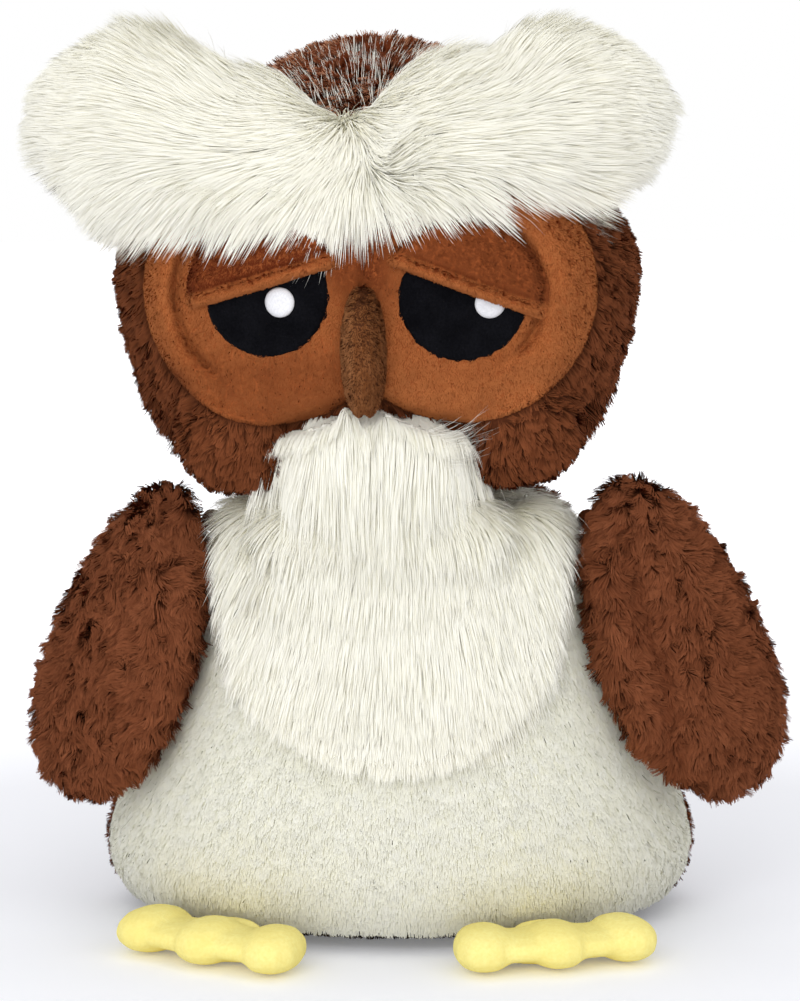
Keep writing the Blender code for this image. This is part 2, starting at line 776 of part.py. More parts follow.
def tip_wedge(side, swing):
    """The room that a brow's tip needs: its knuckle, and a wedge that opens outwards from it."""
    sign = SIDES[side]
    wedge = block((0.0, -FAR, -FAR), (FAR, FAR, FAR))
    for turn in (swing, -swing):
        half = block((0.0, -FAR, -FAR), (FAR, FAR, FAR))
        moved(half, Matrix.Rotation(turn, 4, "Y"))
        wedge = joined(wedge, half)
    moved(wedge, Matrix.Diagonal((sign, 1.0, 1.0, 1.0)))
    if sign < 0:
        wedge.data.flip_normals()
    joined(wedge, rod(TIP_KNUCKLE_RADIUS + GAP, FAR))
    return moved(wedge, Matrix.Translation(tip_joint(side)))


def tip_shape(side, shrink):
    """A brow's free tip, rounded and past the joint."""
    sign = SIDES[side]
    half = (TIP_HALF_WIDTH - shrink, TIP_HALF_DEPTH - shrink, TIP_HALF_HEIGHT - shrink)
    out = sign * (BROW_REACHES[side] - TIP_HALF_WIDTH)
    mesh = SMALL_CORE_MESH if shrink > 0.0 else BROW_MESH
    lobe = moved(ball(half, ROUND, mesh), Matrix.Translation((out, -TIP_FORWARD, TIP_RISE)))
    joint = tip_joint(side)
    start = joint.x + sign * shrink
    low = (start, -FAR, -FAR) if sign > 0 else (-FAR, -FAR, -FAR)
    high = (FAR, FAR, FAR) if sign > 0 else (start, FAR, FAR)
    inside(lobe, block(low, high))
    return lobe


def make_brows(tips, parent):
    for side in SIDES:
        middle = moved(half_space(SIDES[side]), Matrix.Translation((BROW_CENTRE, 0.0, 0.0)))
        fur = cut(brow_pad(side, 0.0), head_ball(GAP), middle, tip_wedge(side, TIP_SWING))
        finish(fur, f"brow_base_{side}", "white_fur", parent)

        to_tip = Matrix.Translation(-tip_joint(side))
        room = head_ball(TIP_CLEARANCE)
        knuckle = rod(TIP_KNUCKLE_RADIUS, TIP_KNUCKLE_LENGTH)
        shell = joined(tip_shape(side, 0.0), moved(knuckle, Matrix.Translation(tip_joint(side))))
        cut(shell, tip_shape(side, BROW_CLOTH))
        cut(shell, room, keep=True)
        finish(moved(shell, to_tip), f"brow_tip_{side}", "white_fur", tips[side])
        core = cut(tip_shape(side, BROW_CLOTH + GAP), room)
        finish(moved(core, to_tip), f"brow_stuffing_{side}", "stuffing", tips[side])


# Wings

def shoulder_place(side):
    """The tab's middle, which lies a small gap more than its radius off the body."""
    angle = -SHOULDER_FORWARD if side == "left" else SHOULDER_FORWARD - math.pi
    point, outward = skin_point(angle, SHOULDER_HEIGHT)
    return point + outward * (TAB_RADIUS + GAP)


def wing_matrix(side):
    sign = SIDES[side]
    splay = Matrix.Rotation(-sign * WING_SPLAYS[side], 4, "Y")
    return splay @ Matrix.Rotation(-WING_LEAN, 4, "X") @ Matrix.Rotation(sign * WING_TURNS[side], 4, "Z")


def wing_ball(side, grow):
    half = (WING_HALF_WIDTH + grow, WING_HALF_THICKNESS + grow, WING_HALF_LENGTH + grow)
    out = SIDES[side] * (WING_HALF_WIDTH - WING_INNER_EDGE)
    place = (out, -WING_BACK - WING_HALF_THICKNESS, WING_TOP - WING_HALF_LENGTH)
    mesh = SMALL_CORE_MESH if grow < 0.0 else WING_MESH
    return moved(ball(half, WING_FORM, mesh), Matrix.Translation(place))


def tab(grow):
    """A shoulder's tab: a ball by the body, and an arm into the wing along the axis that it lifts on."""
    radius = TAB_RADIUS + grow
    length = TAB_ARM_LENGTH + grow
    arm = moved(rod(TAB_ARM_RADIUS + grow, length), Matrix.Translation((0.0, -length / 2, 0.0)))
    return joined(ball((radius, radius, radius), ROUND, TAB_MESH), arm)


def make_wings(tabs, wings):
    """Each wing: a front and a back panel sewn round the edge over stuffing, on a tab at the shoulder."""
    seam = -WING_BACK - WING_HALF_THICKNESS
    for side in SIDES:
        finish(tab(0.0), f"wing_tab_{side}", "brown_plush", tabs[side])
        room = moved(tab(GAP), wing_matrix(side).inverted())
        shell = cut(wing_ball(side, 0.0), wing_ball(side, -CLOTH))
        cut(shell, room, keep=True)
        front = block((-FAR, -FAR, -FAR), (FAR, seam - SEAM_GAP / 2, FAR))
        back = block((-FAR, seam + SEAM_GAP / 2, -FAR), (FAR, FAR, FAR))
        panel = inside(copy_of(shell), front)
        finish(panel, f"wing_front_{side}", "brown_plush", wings[side])
        finish(inside(shell, back), f"wing_back_{side}", "brown_plush", wings[side])
        core = cut(wing_ball(side, -CLOTH - GAP), room)
        finish(core, f"wing_stuffing_{side}", "stuffing", wings[side])


# Feet

def foot_place(side):
    """The hinge at the back of the heel. Its roll lies a small gap off the belly, above the base seam."""
    point, outward = skin_point(FOOT_ANGLES[side], FOOT_SEAM_HEIGHT)
    axis = Vector((math.cos(FOOT_TURNS[side]), math.sin(FOOT_TURNS[side]), 0.0))
    lengthwise = axis.dot(outward)
    reach = math.hypot(ROLL_HALF_LENGTH * lengthwise, ROLL_RADIUS * math.sqrt(1.0 - lengthwise**2))
    return point + outward * (reach + GAP)


def toes(side, grow):
    """Three toes side by side, fanned out from a narrow heel, about the hinge."""
    mesh = SMALL_CORE_MESH if grow < 0.0 else TOE_MESH
    floor = Matrix.Translation((0.0, 0.0, -foot_place(side).z))
    half = (HEEL_HALF_WIDTH + grow, HEEL_HALF_LENGTH + grow, HEEL_HEIGHT / 2 + grow)
    made = ball(half, TOE_FORM, mesh)
    moved(made, floor @ Matrix.Translation((0.0, -HEEL_REACH, HEEL_HEIGHT / 2)))
    half = (TOE_HALF_WIDTH + grow, TOE_HALF_LENGTH + grow, TOE_HEIGHT / 2 + grow)
    for place in (-1.0, 0.0, 1.0):
        toe = ball(half, TOE_FORM, mesh)
        back = abs(place) * TOE_SET_BACK
        turn = Matrix.Rotation(place * TOE_FAN, 4, "Z")
        spot = floor @ Matrix.Translation((place * TOE_SPACING, back, TOE_HEIGHT / 2))
        moved(toe, spot @ turn @ Matrix.Translation((0.0, -TOE_REACH, 0.0)))
        joined(made, toe)
    return made


def heel_roll(grow):
    radius = ROLL_RADIUS + grow
    return ball((ROLL_HALF_LENGTH + grow, radius, radius), ROUND, TOE_MESH)


def make_feet(feet):
    """Each foot: a top and a sole over stuffing. The top is sewn to the belly by a roll along the hinge."""
    for side in SIDES:
        seam = TOE_HEIGHT / 2 - foot_place(side).z
        shell = cut(toes(side, 0.0), toes(side, -SUEDE))
        above = block((-FAR, -FAR, seam + SEAM_GAP / 2), (FAR, FAR, FAR))
        below = block((-FAR, -FAR, -FAR), (FAR, FAR, seam - SEAM_GAP / 2))
        sole = cut(inside(copy_of(shell), below), heel_roll(GAP))
        finish(sole, f"foot_sole_{side}", "yellow_velboa", feet[side])
        top = joined(inside(shell, above), heel_roll(0.0))
        cut(top, toes(side, -SUEDE))
        finish(top, f"foot_top_{side}", "yellow_velboa", feet[side])
        core = toes(side, -SUEDE - GAP)
        finish(core, f"foot_stuffing_{side}", "stuffing", feet[side])


def build():
    make_body_panels()
    make_base_panel()
    make_pouch()
    make_body_stuffing()
    make_bib()
    make_neck()

    head = joint_empty("head_place", (0, 0, 0), head_matrix())
    make_head(head)
    make_head_stuffing(head)
    make_chin(head)
    make_eyes(head)
    make_beak(joint_empty("beak_hinge", beak_root(), parent=head))
    tips = {s: joint_empty(f"brow_tip_joint_{s}", tip_joint(s), parent=head) for s in SIDES}
    make_brows(tips, head)

    tabs, wings, feet = {}, {}, {}
    for side in SIDES:
        tabs[side] = joint_empty(f"shoulder_{side}", shoulder_place(side))
        wings[side] = joint_empty(f"wing_hang_{side}", shoulder_place(side), wing_matrix(side))
        turn = Matrix.Rotation(FOOT_TURNS[side], 4, "Z")
        feet[side] = joint_empty(f"foot_hinge_{side}", foot_place(side), turn)
    make_wings(tabs, wings)
    make_feet(feet)


clear_scene()
OWL = collection_named("plush_owl")
HELPERS = collection_named("helpers")
MATERIALS = make_materials()
build()
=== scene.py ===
"""The looks of the plush owl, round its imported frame: soft skins, seams, felt and a pile of real strands.

Metres, +Z up; the owl looks along -Y. Left and right are the owl's own, so left is +X.
Every skin is made from the CAD nodes that it stands for. A pile grows on a skin as thin tapered blades.
"""

import json
import math
from typing import NamedTuple

import bmesh
import bpy
import numpy as np
from mathutils import Matrix, Vector
from mathutils.bvhtree import BVHTree

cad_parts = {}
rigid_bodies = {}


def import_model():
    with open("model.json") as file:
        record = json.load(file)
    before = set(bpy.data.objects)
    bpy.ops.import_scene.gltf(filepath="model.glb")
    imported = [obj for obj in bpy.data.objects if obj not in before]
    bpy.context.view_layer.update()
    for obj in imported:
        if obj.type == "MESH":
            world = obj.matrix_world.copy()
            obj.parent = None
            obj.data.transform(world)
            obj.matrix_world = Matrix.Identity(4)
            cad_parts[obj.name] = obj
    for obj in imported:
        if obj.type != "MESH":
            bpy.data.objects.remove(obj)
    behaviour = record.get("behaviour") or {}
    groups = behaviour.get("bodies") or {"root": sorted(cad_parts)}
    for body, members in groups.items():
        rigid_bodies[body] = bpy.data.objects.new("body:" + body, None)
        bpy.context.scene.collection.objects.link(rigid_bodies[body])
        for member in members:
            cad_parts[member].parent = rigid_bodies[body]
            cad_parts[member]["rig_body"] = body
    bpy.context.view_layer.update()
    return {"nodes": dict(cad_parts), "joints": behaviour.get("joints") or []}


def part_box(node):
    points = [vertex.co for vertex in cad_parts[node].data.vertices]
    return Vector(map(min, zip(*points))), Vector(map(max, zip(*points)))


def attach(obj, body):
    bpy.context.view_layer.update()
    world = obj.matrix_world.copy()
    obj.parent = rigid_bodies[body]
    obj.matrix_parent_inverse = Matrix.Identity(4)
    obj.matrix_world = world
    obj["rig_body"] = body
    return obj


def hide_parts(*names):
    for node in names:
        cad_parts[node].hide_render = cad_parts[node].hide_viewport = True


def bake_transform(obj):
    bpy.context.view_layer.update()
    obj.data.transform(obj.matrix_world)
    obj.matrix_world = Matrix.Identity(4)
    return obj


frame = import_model()
NODES = frame["nodes"]
SIDES = {"left": 1.0, "right": -1.0}
NTH = {"left": 0, "right": 1}  # for the seeds, so that the two sides differ
MM = 0.001


def mm(*values):
    return tuple(value * MM for value in values)


# Camera of the photograph

CAMERA_PLACE = (0.0, -1.1, 0.3)
CAMERA_TARGET = (0.0, 0.0, 0.135)
FRAME_WIDTH = 0.26  # that the photograph shows at the target
SENSOR_WIDTH = 36.0  # in millimetres


# Frame of the head, from the joints and the head's own stuffing

def joint_named(name):
    return next(j for j in frame["joints"] if j["name"] == name)


def head_matrix():
    """From the head's own frame (to its left, back and up from the middle of its stuffing) to the world's."""
    across = -Vector(joint_named("beak_lift")["axis"])
    back = Vector(joint_named("left_brow_flop")["axis"])
    up = across.cross(back).normalized()
    low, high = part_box("head_stuffing")
    turn = Matrix((across.normalized(), back.normalized(), up)).transposed()
    return Matrix.Translation((low + high) / 2) @ turn.to_4x4()


HEAD = head_matrix()
TO_HEAD = HEAD.inverted()
HEAD_LEFT, HEAD_BACK, HEAD_UP = (HEAD.col[i].to_3d() for i in range(3))


def to_head(points):
    """The points in the head's own frame."""
    turn = np.array(TO_HEAD.to_3x3())
    return points @ turn.T + np.array(TO_HEAD.translation)


# Meshes

def rows_of(data, key):
    """The vectors kept under a key in a mesh's vertices, as rows."""
    found = np.empty(len(data) * 3, np.float32)
    data.foreach_get(key, found)
    return found.reshape(-1, 3).astype(float)


def stacked(*columns):
    """Rows of these columns, each an array or one number."""
    return np.stack(np.broadcast_arrays(*columns), 1)


def points_of(thing):
    return rows_of(thing.data.vertices, "co")


def set_points(thing, points):
    thing.data.vertices.foreach_set("co", points.reshape(-1).astype(np.float32))
    thing.data.update()


# Noise

WAVE_COUNT = 14


def waves(seed, wavelength, channels=1):
    """A smooth random field of points, about -1 to 1, as a sum of sines."""
    rng = np.random.default_rng(seed)
    ways = rng.normal(size=(channels, WAVE_COUNT, 3))
    ways /= np.linalg.norm(ways, axis=2, keepdims=True)
    numbers = ways * (2 * math.pi / wavelength) * rng.uniform(0.6, 1.5, (channels, WAVE_COUNT, 1))
    phases = rng.uniform(0, 2 * math.pi, (channels, WAVE_COUNT))

    def field(points):
        found = np.zeros((len(points), channels))
        for c in range(channels):
            angles = points @ numbers[c].T + phases[c]
            found[:, c] = np.sin(angles).sum(1) * math.sqrt(1 / WAVE_COUNT)
        return found[:, 0] if channels == 1 else found

    return field


def smoothstep(low, high, x):
    t = np.clip((x - low) / (high - low), 0.0, 1.0)
    return t * t * (3 - 2 * t)


def bell(x, width):
    return np.exp(-((x / width) ** 2))


def unit(rows):
    return rows / np.maximum(np.linalg.norm(rows, axis=-1, keepdims=True), 1e-9)


# Materials

def add_node(tree, kind, inputs=None, **settings):
    """A new node with these settings, and a link or a value for each of these inputs."""
    node = tree.nodes.new(kind)
    for key, value in settings.items():
        setattr(node, key, value)
    for key, value in (inputs or {}).items():
        if isinstance(value, bpy.types.NodeSocket):
            tree.links.new(value, node.inputs[key])
        else:
            node.inputs[key].default_value = value
    return node


class Nodes:
    """A short way to write a material's nodes."""

    def __init__(self, name, roughness):
        self.material = bpy.data.materials.new(name)
        self.material.use_nodes = True
        self.tree = self.material.node_tree
        self.shader = self.tree.nodes["Principled BSDF"]
        self.shader.inputs["Roughness"].default_value = roughness
        self.shader.inputs["Specular IOR Level"].default_value = 0.06  # cloth hardly shines

    def make(self, kind, inputs=None, **settings):
        return add_node(self.tree, kind, inputs, **settings)

    def attribute(self, name):
        return self.make("ShaderNodeAttribute", attribute_name=name).outputs["Fac"]

    def mix(self, fac, a, b):
        a, b = (value if isinstance(value, bpy.types.NodeSocket) else (*value, 1.0) for value in (a, b))
        return self.make("ShaderNodeMix", {0: fac, 6: a, 7: b}, data_type="RGBA").outputs[2]

    def noise(self, scale):
        place = self.make("ShaderNodeTexCoord").outputs["Object"]
        node = self.make("ShaderNodeTexNoise", {"Vector": place, "Scale": scale, "Detail": 3.0})
        return node.outputs["Fac"]

    def colour(self, socket):
        self.tree.links.new(socket, self.shader.inputs["Base Color"])


def pile_material(name, root, dark, light, tint=None):
    """Each strand goes from its root's colour to a colour between dark and light, by its own tone."""
    made = Nodes(name, 0.9)
    body = made.mix(made.attribute("tone"), dark, light)
    # The tint mixes in the tinted colour: mostly painted shade on the face and lids, partly painted light on
    # the crown
    if tint is not None:
        body = made.mix(made.attribute("tint"), body, tint)
    fade = made.make("ShaderNodeValToRGB", {"Fac": made.attribute("along")})
    fade.color_ramp.elements[1].position = 0.75  # of its length, where a strand's own colour is reached
    made.colour(made.mix(fade.outputs["Color"], root, body))
    return made.material


def cloth_material(name, dark, light, scale=900.0, roughness=0.95, bump=0.3 * MM):
    """A knitted or felted ground: two tones by fine and by broad noise, with a fibre bump."""
    made = Nodes(name, roughness)
    fine = made.noise(scale)
    broad = made.noise(scale / 14)
    both = made.make("ShaderNodeMath", {0: fine, 1: broad}, operation="MULTIPLY")
    spread = made.make("ShaderNodeMapRange", {"Value": both.outputs[0], 1: 0.12, 2: 0.42})
    made.colour(made.mix(spread.outputs[0], dark, light))
    node = made.make("ShaderNodeBump", {"Height": fine, "Distance": bump, "Strength": 0.6})
    made.tree.links.new(node.outputs["Normal"], made.shader.inputs["Normal"])
    return made.material


PILES = {  # a strand's colours: at its root, dark, light, and tinted. brown_pile's tinted colour is the crown's lighter rust, partly painted light from above; tan_pile's is a dark red-brown, mostly painted shade under the brows and low on the face
    "brown_pile": ((0.105, 0.032, 0.012), (0.18, 0.05, 0.018), (0.31, 0.095, 0.036), (0.64, 0.31, 0.18)),
    "wing_pile": ((0.09, 0.027, 0.011), (0.17, 0.048, 0.019), (0.32, 0.105, 0.045)),
    "cream_pile": ((0.982, 0.97, 0.82), (0.984, 0.968, 0.81), (0.996, 0.988, 0.9)),
    "white_pile": ((0.955, 0.94, 0.85), (0.955, 0.94, 0.85), (0.98, 0.966, 0.88)),
    "tan_pile": ((0.36, 0.095, 0.026), (0.42, 0.118, 0.033), (0.62, 0.21, 0.066), (0.17, 0.033, 0.01)),
    "suede_pile": ((0.17, 0.056, 0.017), (0.2, 0.066, 0.02), (0.48, 0.2, 0.078)),
    "dark_pile": ((0.01, 0.006, 0.005), (0.03, 0.018, 0.014), (0.07, 0.04, 0.03)),
}
CLOTHS = {  # dark, light, and where they differ the noise's scale, the roughness and the bump
    "brown_ground": ((0.07, 0.02, 0.008), (0.13, 0.037, 0.014)),
    "cream_ground": ((0.97, 0.955, 0.8), (0.985, 0.97, 0.83)),
    "white_ground": ((0.955, 0.94, 0.85), (0.975, 0.96, 0.88)),
    "tan_ground": ((0.28, 0.07, 0.02), (0.4, 0.11, 0.032)),
    "suede_ground": ((0.06, 0.02, 0.008), (0.14, 0.048, 0.018)),
    "yellow_ground": ((0.92, 0.79, 0.25), (0.98, 0.88, 0.33)),
    "dark_ground": ((0.008, 0.005, 0.004), (0.025, 0.016, 0.013)),
    "black_felt": ((0.0012, 0.0012, 0.002), (0.006, 0.006, 0.008), 1600.0),
    "white_felt": ((0.7, 0.7, 0.73), (0.88, 0.88, 0.9), 1600.0, 0.7),
    "stuffing": ((0.66, 0.66, 0.66), (0.88, 0.88, 0.88), 300.0, 1.0, 1 * MM),
    "lining": ((0.5, 0.5, 0.48), (0.66, 0.66, 0.63), 1200.0),
    "pellets": ((0.55, 0.55, 0.58), (0.8, 0.8, 0.82), 420.0, 0.4, 1 * MM),
    "thread": ((0.05, 0.02, 0.012), (0.12, 0.05, 0.03), 2500.0),
}
MATERIALS = {name: pile_material(name, *values) for name, values in PILES.items()}
MATERIALS.update({name: cloth_material(name, *values) for name, values in CLOTHS.items()})


# Skins

def dress(mesh, material):
    mesh.materials.clear()
    mesh.materials.append(MATERIALS[material])


def mesh_object(name, mesh, material):
    made = bpy.data.objects.new(name, mesh)
    bpy.context.scene.collection.objects.link(made)
    dress(mesh, material)
    return made


def object_from(bm, name, material):
    mesh = bpy.data.meshes.new(name)
    bm.to_mesh(mesh)
    bm.free()
    return mesh_object(name, mesh, material)


def evaluated(thing):
    """Makes the modifiers' result the object's own mesh."""
    graph = bpy.context.evaluated_depsgraph_get()
    graph.update()
    mesh = bpy.data.meshes.new_from_object(thing.evaluated_get(graph))
    thing.modifiers.clear()
    thing.data = mesh


def largest_shell(bm):
    """Deletes every loose shell but the one with the most faces."""
    left, best = set(bm.faces), set()
    while left:
        stack = [left.pop()]
        shell = set(stack)
        while stack:
            near = {face for edge in stack.pop().edges for face in edge.link_faces} & left
            left -= near
            shell |= near
            stack += near
        best = max(best, shell, key=len)
    bmesh.ops.delete(bm, geom=[face for face in bm.faces if face not in best], context="FACES")


THIN_SHARE = 0.4  # of a thin place's thickness that each side may sink
DEEP_SINK = 4 * MM  # beyond which thin places are looked after


def smoothed(bm, times):
    for _ in range(times):
        bmesh.ops.smooth_vert(
            bm, verts=bm.verts, factor=0.5, use_axis_x=True, use_axis_y=True, use_axis_z=True
        )


def even_depths(bm, sink):
    """How far each vertex may sink without meeting the other side of a thin place."""
    tree = BVHTree.FromBMesh(bm)
    found = np.full(len(bm.verts), sink)
    for i, vertex in enumerate(bm.verts):
        distance = tree.ray_cast(vertex.co - vertex.normal * MM / 2, -vertex.normal)[3]
        if distance is not None:
            found[i] = min(sink, THIN_SHARE * distance)
    pairs = np.array([[v.index for v in edge.verts] for edge in bm.edges])
    for _ in range(12):
        total, count = found.copy(), np.ones(len(found))
        for a, b in (pairs.T, pairs.T[::-1]):
            total += np.bincount(a, found[b], len(found))
            count += np.bincount(a, minlength=len(found))
        found = np.minimum(total / count, found + 0.3 * MM)
    return found


def skin(name, nodes, material, voxel, smooth, sink, extra=(), wrapped=()):
    """One closed soft form round these CAD nodes, remeshed so that the gaps between them close.

    It is smoothed and lies this far below their surface, to leave room for the pile. Extra balls (place,
    radii) fill hollows, and so does the hull round the wrapped points.
    """
    bm = bmesh.new()
    for node in nodes:
        bm.from_mesh(NODES[node].data)
    for place, radii in extra:
        ball = Matrix.Translation(Vector(place)) @ Matrix.Diagonal((*radii, 1.0))
        bmesh.ops.create_icosphere(bm, subdivisions=3, radius=1.0, matrix=ball)
    if len(wrapped):
        bmesh.ops.convex_hull(bm, input=[bm.verts.new(point) for point in wrapped])
    made = object_from(bm, name, material)
    remesh = made.modifiers.new("remesh", "REMESH")
    remesh.mode = "VOXEL"
    remesh.voxel_size = voxel
    evaluated(made)
    bm = bmesh.new()
    bm.from_mesh(made.data)
    largest_shell(bm)
    smoothed(bm, smooth)
    bm.normal_update()
    deep = sink > DEEP_SINK
    depths = even_depths(bm, sink) if deep else np.full(len(bm.verts), sink)
    for vertex, depth in zip(bm.verts, depths):
        vertex.co -= vertex.normal * depth
    if deep:
        smoothed(bm, 6)
    bm.to_mesh(made.data)
    bm.free()
    made.data.shade_smooth()
    dress(made.data, material)
    return made


CLOTH_THICKNESS = 0.8 * MM


def closed(thing, thickness=CLOTH_THICKNESS):
    """Gives a sheet its thickness, inwards."""
    solid = thing.modifiers.new("cloth", "SOLIDIFY")
    solid.thickness = thickness
    solid.offset = -1.0
    evaluated(thing)
    thing.data.shade_smooth()


def plane_cut(thing, name, planes, material):
    """The part of a skin on the inner side of these planes (place, way out), as a cloth."""
    bm = bmesh.new()
    bm.from_mesh(thing.data)
    for place, way in planes:
        geom = [*bm.verts, *bm.edges, *bm.faces]
        bmesh.ops.bisect_plane(bm, geom=geom, plane_co=place, plane_no=way, clear_outer=True)
    made = object_from(bm, name, material)
    closed(made)
    return made


def tree_of(thing):
    """A search tree over an object's triangles."""
    mesh = thing.data
    mesh.calc_loop_triangles()
    return BVHTree.FromPolygons([v.co for v in mesh.vertices], [t.vertices for t in mesh.loop_triangles])


ASLANT = Vector((0.31, 0.87, 0.38)).normalized()  # along no edge of the forms


def is_deep(tree, place, depth):
    """Whether a place lies inside a closed form, at least this deep."""
    at, inside = place, False
    for _ in range(20):
        hit = tree.ray_cast(at, ASLANT)[0]
        if hit is None:
            break
        inside = not inside
        at = hit + ASLANT * 1e-6
    return inside and tree.find_nearest(place)[3] > depth


def hidden_by(thing, *trees, depth):
    """Which vertices of a skin lie inside other forms, at least this deep."""
    return np.array([any(is_deep(tree, v.co, depth) for tree in trees) for v in thing.data.vertices])


def in_outline(x, z, outline):
    """Which points lie inside a closed outline of corners."""
    found = np.zeros(len(x), bool)
    for (xa, za), (xb, zb) in zip(outline, [*outline[1:], outline[0]]):
        if za != zb:
            at = xa + (z - za) * (xb - xa) / (zb - za)
            found ^= ((za > z) != (zb > z)) & (x < at)
    return found


def scatter(thing, spacing, seed, keep=None, hidden=None):
    """Random points on a skin, one for each square of this spacing, with the smooth normal at each.

    keep takes the points and normals and says which stay. hidden says which vertices grow nothing.
    """
    mesh = thing.data
    mesh.calc_loop_triangles()
    corners = np.empty(len(mesh.loop_triangles) * 3, np.int32)
    mesh.loop_triangles.foreach_get("vertices", corners)
    corners = corners.reshape(-1, 3)
    if hidden is not None:
        corners = corners[~hidden[corners].all(1)]
    places = points_of(thing)
    normals = rows_of(mesh.vertices, "normal")
    a, b, c = (places[corners[:, i]] for i in range(3))
    areas = np.linalg.norm(np.cross(b - a, c - a), axis=1) / 2
    rng = np.random.default_rng(seed)
    count = int(areas.sum() / spacing**2)
    picked = rng.choice(len(areas), size=count, p=areas / areas.sum())
    u, v = rng.random((2, count))
    over = u + v > 1
    u[over], v[over] = 1 - u[over], 1 - v[over]
    weights = stacked(1 - u - v, u, v)
    if hidden is not None:
        stays = (weights * hidden[corners[picked]]).sum(1) < 0.5
        weights, picked = weights[stays], picked[stays]
    points = np.einsum("nk,nkd->nd", weights, places[corners[picked]])
    ways = unit(np.einsum("nk,nkd->nd", weights, normals[corners[picked]]))
    if keep is not None:
        stays = keep(points, ways)
        points, ways = points[stays], ways[stays]
    return points, ways


# Pile

class Pile(NamedTuple):
    """How a pile grows. length, width, clump and wave are in metres, and the rest are shares."""

    length: float
    width: float
    steps: int = 1
    lay: float = 0.4  # how flat it lies
    droop: float = 0.0
    clump: float = 3 * MM
    pull: float = 0.1  # towards the middle of its clump
    tilt: float = 0.1  # of each clump by itself
    curl: float = 0.2
    wave: float = 6 * MM  # over which the curl turns
    uneven: float = 0.25
    stray: float = 0.12
    tone: float = 0.12
    blunt: bool = True
    free: float = 0.0  # how far it hangs clear of the skin under an overhang


def clumps_of(roots, size, seed):
    """The number of the clump that each root belongs to: a cell of a warped grid."""
    warp = waves(seed, size * 2.7, 3)(roots) * size * 0.45
    cells = np.floor((roots + warp) / size).astype(np.int64)
    key = (cells[:, 0] * 73856093) ^ (cells[:, 1] * 19349663) ^ (cells[:, 2] * 83492791)
    return np.unique(key, return_inverse=True)[1].reshape(-1)


def mean_of(rows, group, count):
    """The mean of the rows in each group."""
    size = np.maximum(np.bincount(group, minlength=count), 1)
    return np.stack([np.bincount(group, rows[:, i], count) / size for i in range(rows.shape[1])], 1)


ROOT_DEPTH = 0.3 * MM


def grown(pile, roots, normals, comb, seed, share):
    """The paths of the strands, as an array of strand, step and place, and each strand's tone."""
    rng = np.random.default_rng(seed)
    n = len(roots)
    group = clumps_of(roots, pile.clump, seed + 1)
    groups = group.max() + 1
    tilts = rng.normal(size=(groups, 3))[group] * pile.tilt
    curl = waves(seed + 2, pile.wave, 3)
    length = pile.length * share * (1 - pile.uneven * rng.random(n))
    length = length * (1 + 0.25 * (rng.random(groups)[group] - 0.5))
    strays = rng.normal(size=(n, 3)) * pile.stray
    outward = (comb * normals).sum(1, keepdims=True)
    comb = unit(comb - normals * np.where(outward > 0, outward * (1 - pile.free), outward))
    path = np.empty((n, pile.steps + 1, 3))
    path[:, 0] = roots - normals * ROOT_DEPTH
    step = (length / pile.steps)[:, None]
    for k in range(pile.steps):
        s = (k + 0.5) / pile.steps
        way = normals * (1 - pile.lay * s**0.5) + comb * (pile.lay * (0.4 + 0.9 * s))
        way = way + (tilts + strays) * (0.3 + 0.7 * s) + curl(path[:, k]) * pile.curl * s
        way[:, 2] -= pile.droop * s
        path[:, k + 1] = path[:, k] + unit(way) * step
    for k in range(1, pile.steps + 1):
        centre = mean_of(path[:, k], group, groups)[group]
        path[:, k] += (centre - path[:, k]) * pile.pull * (k / pile.steps) ** 1.3
    tone = 0.5 + pile.tone * (rng.normal(size=groups)[group] + 0.7 * rng.normal(size=n))
    return path, tone


TINT_BANDS = 8  # across the bake's map


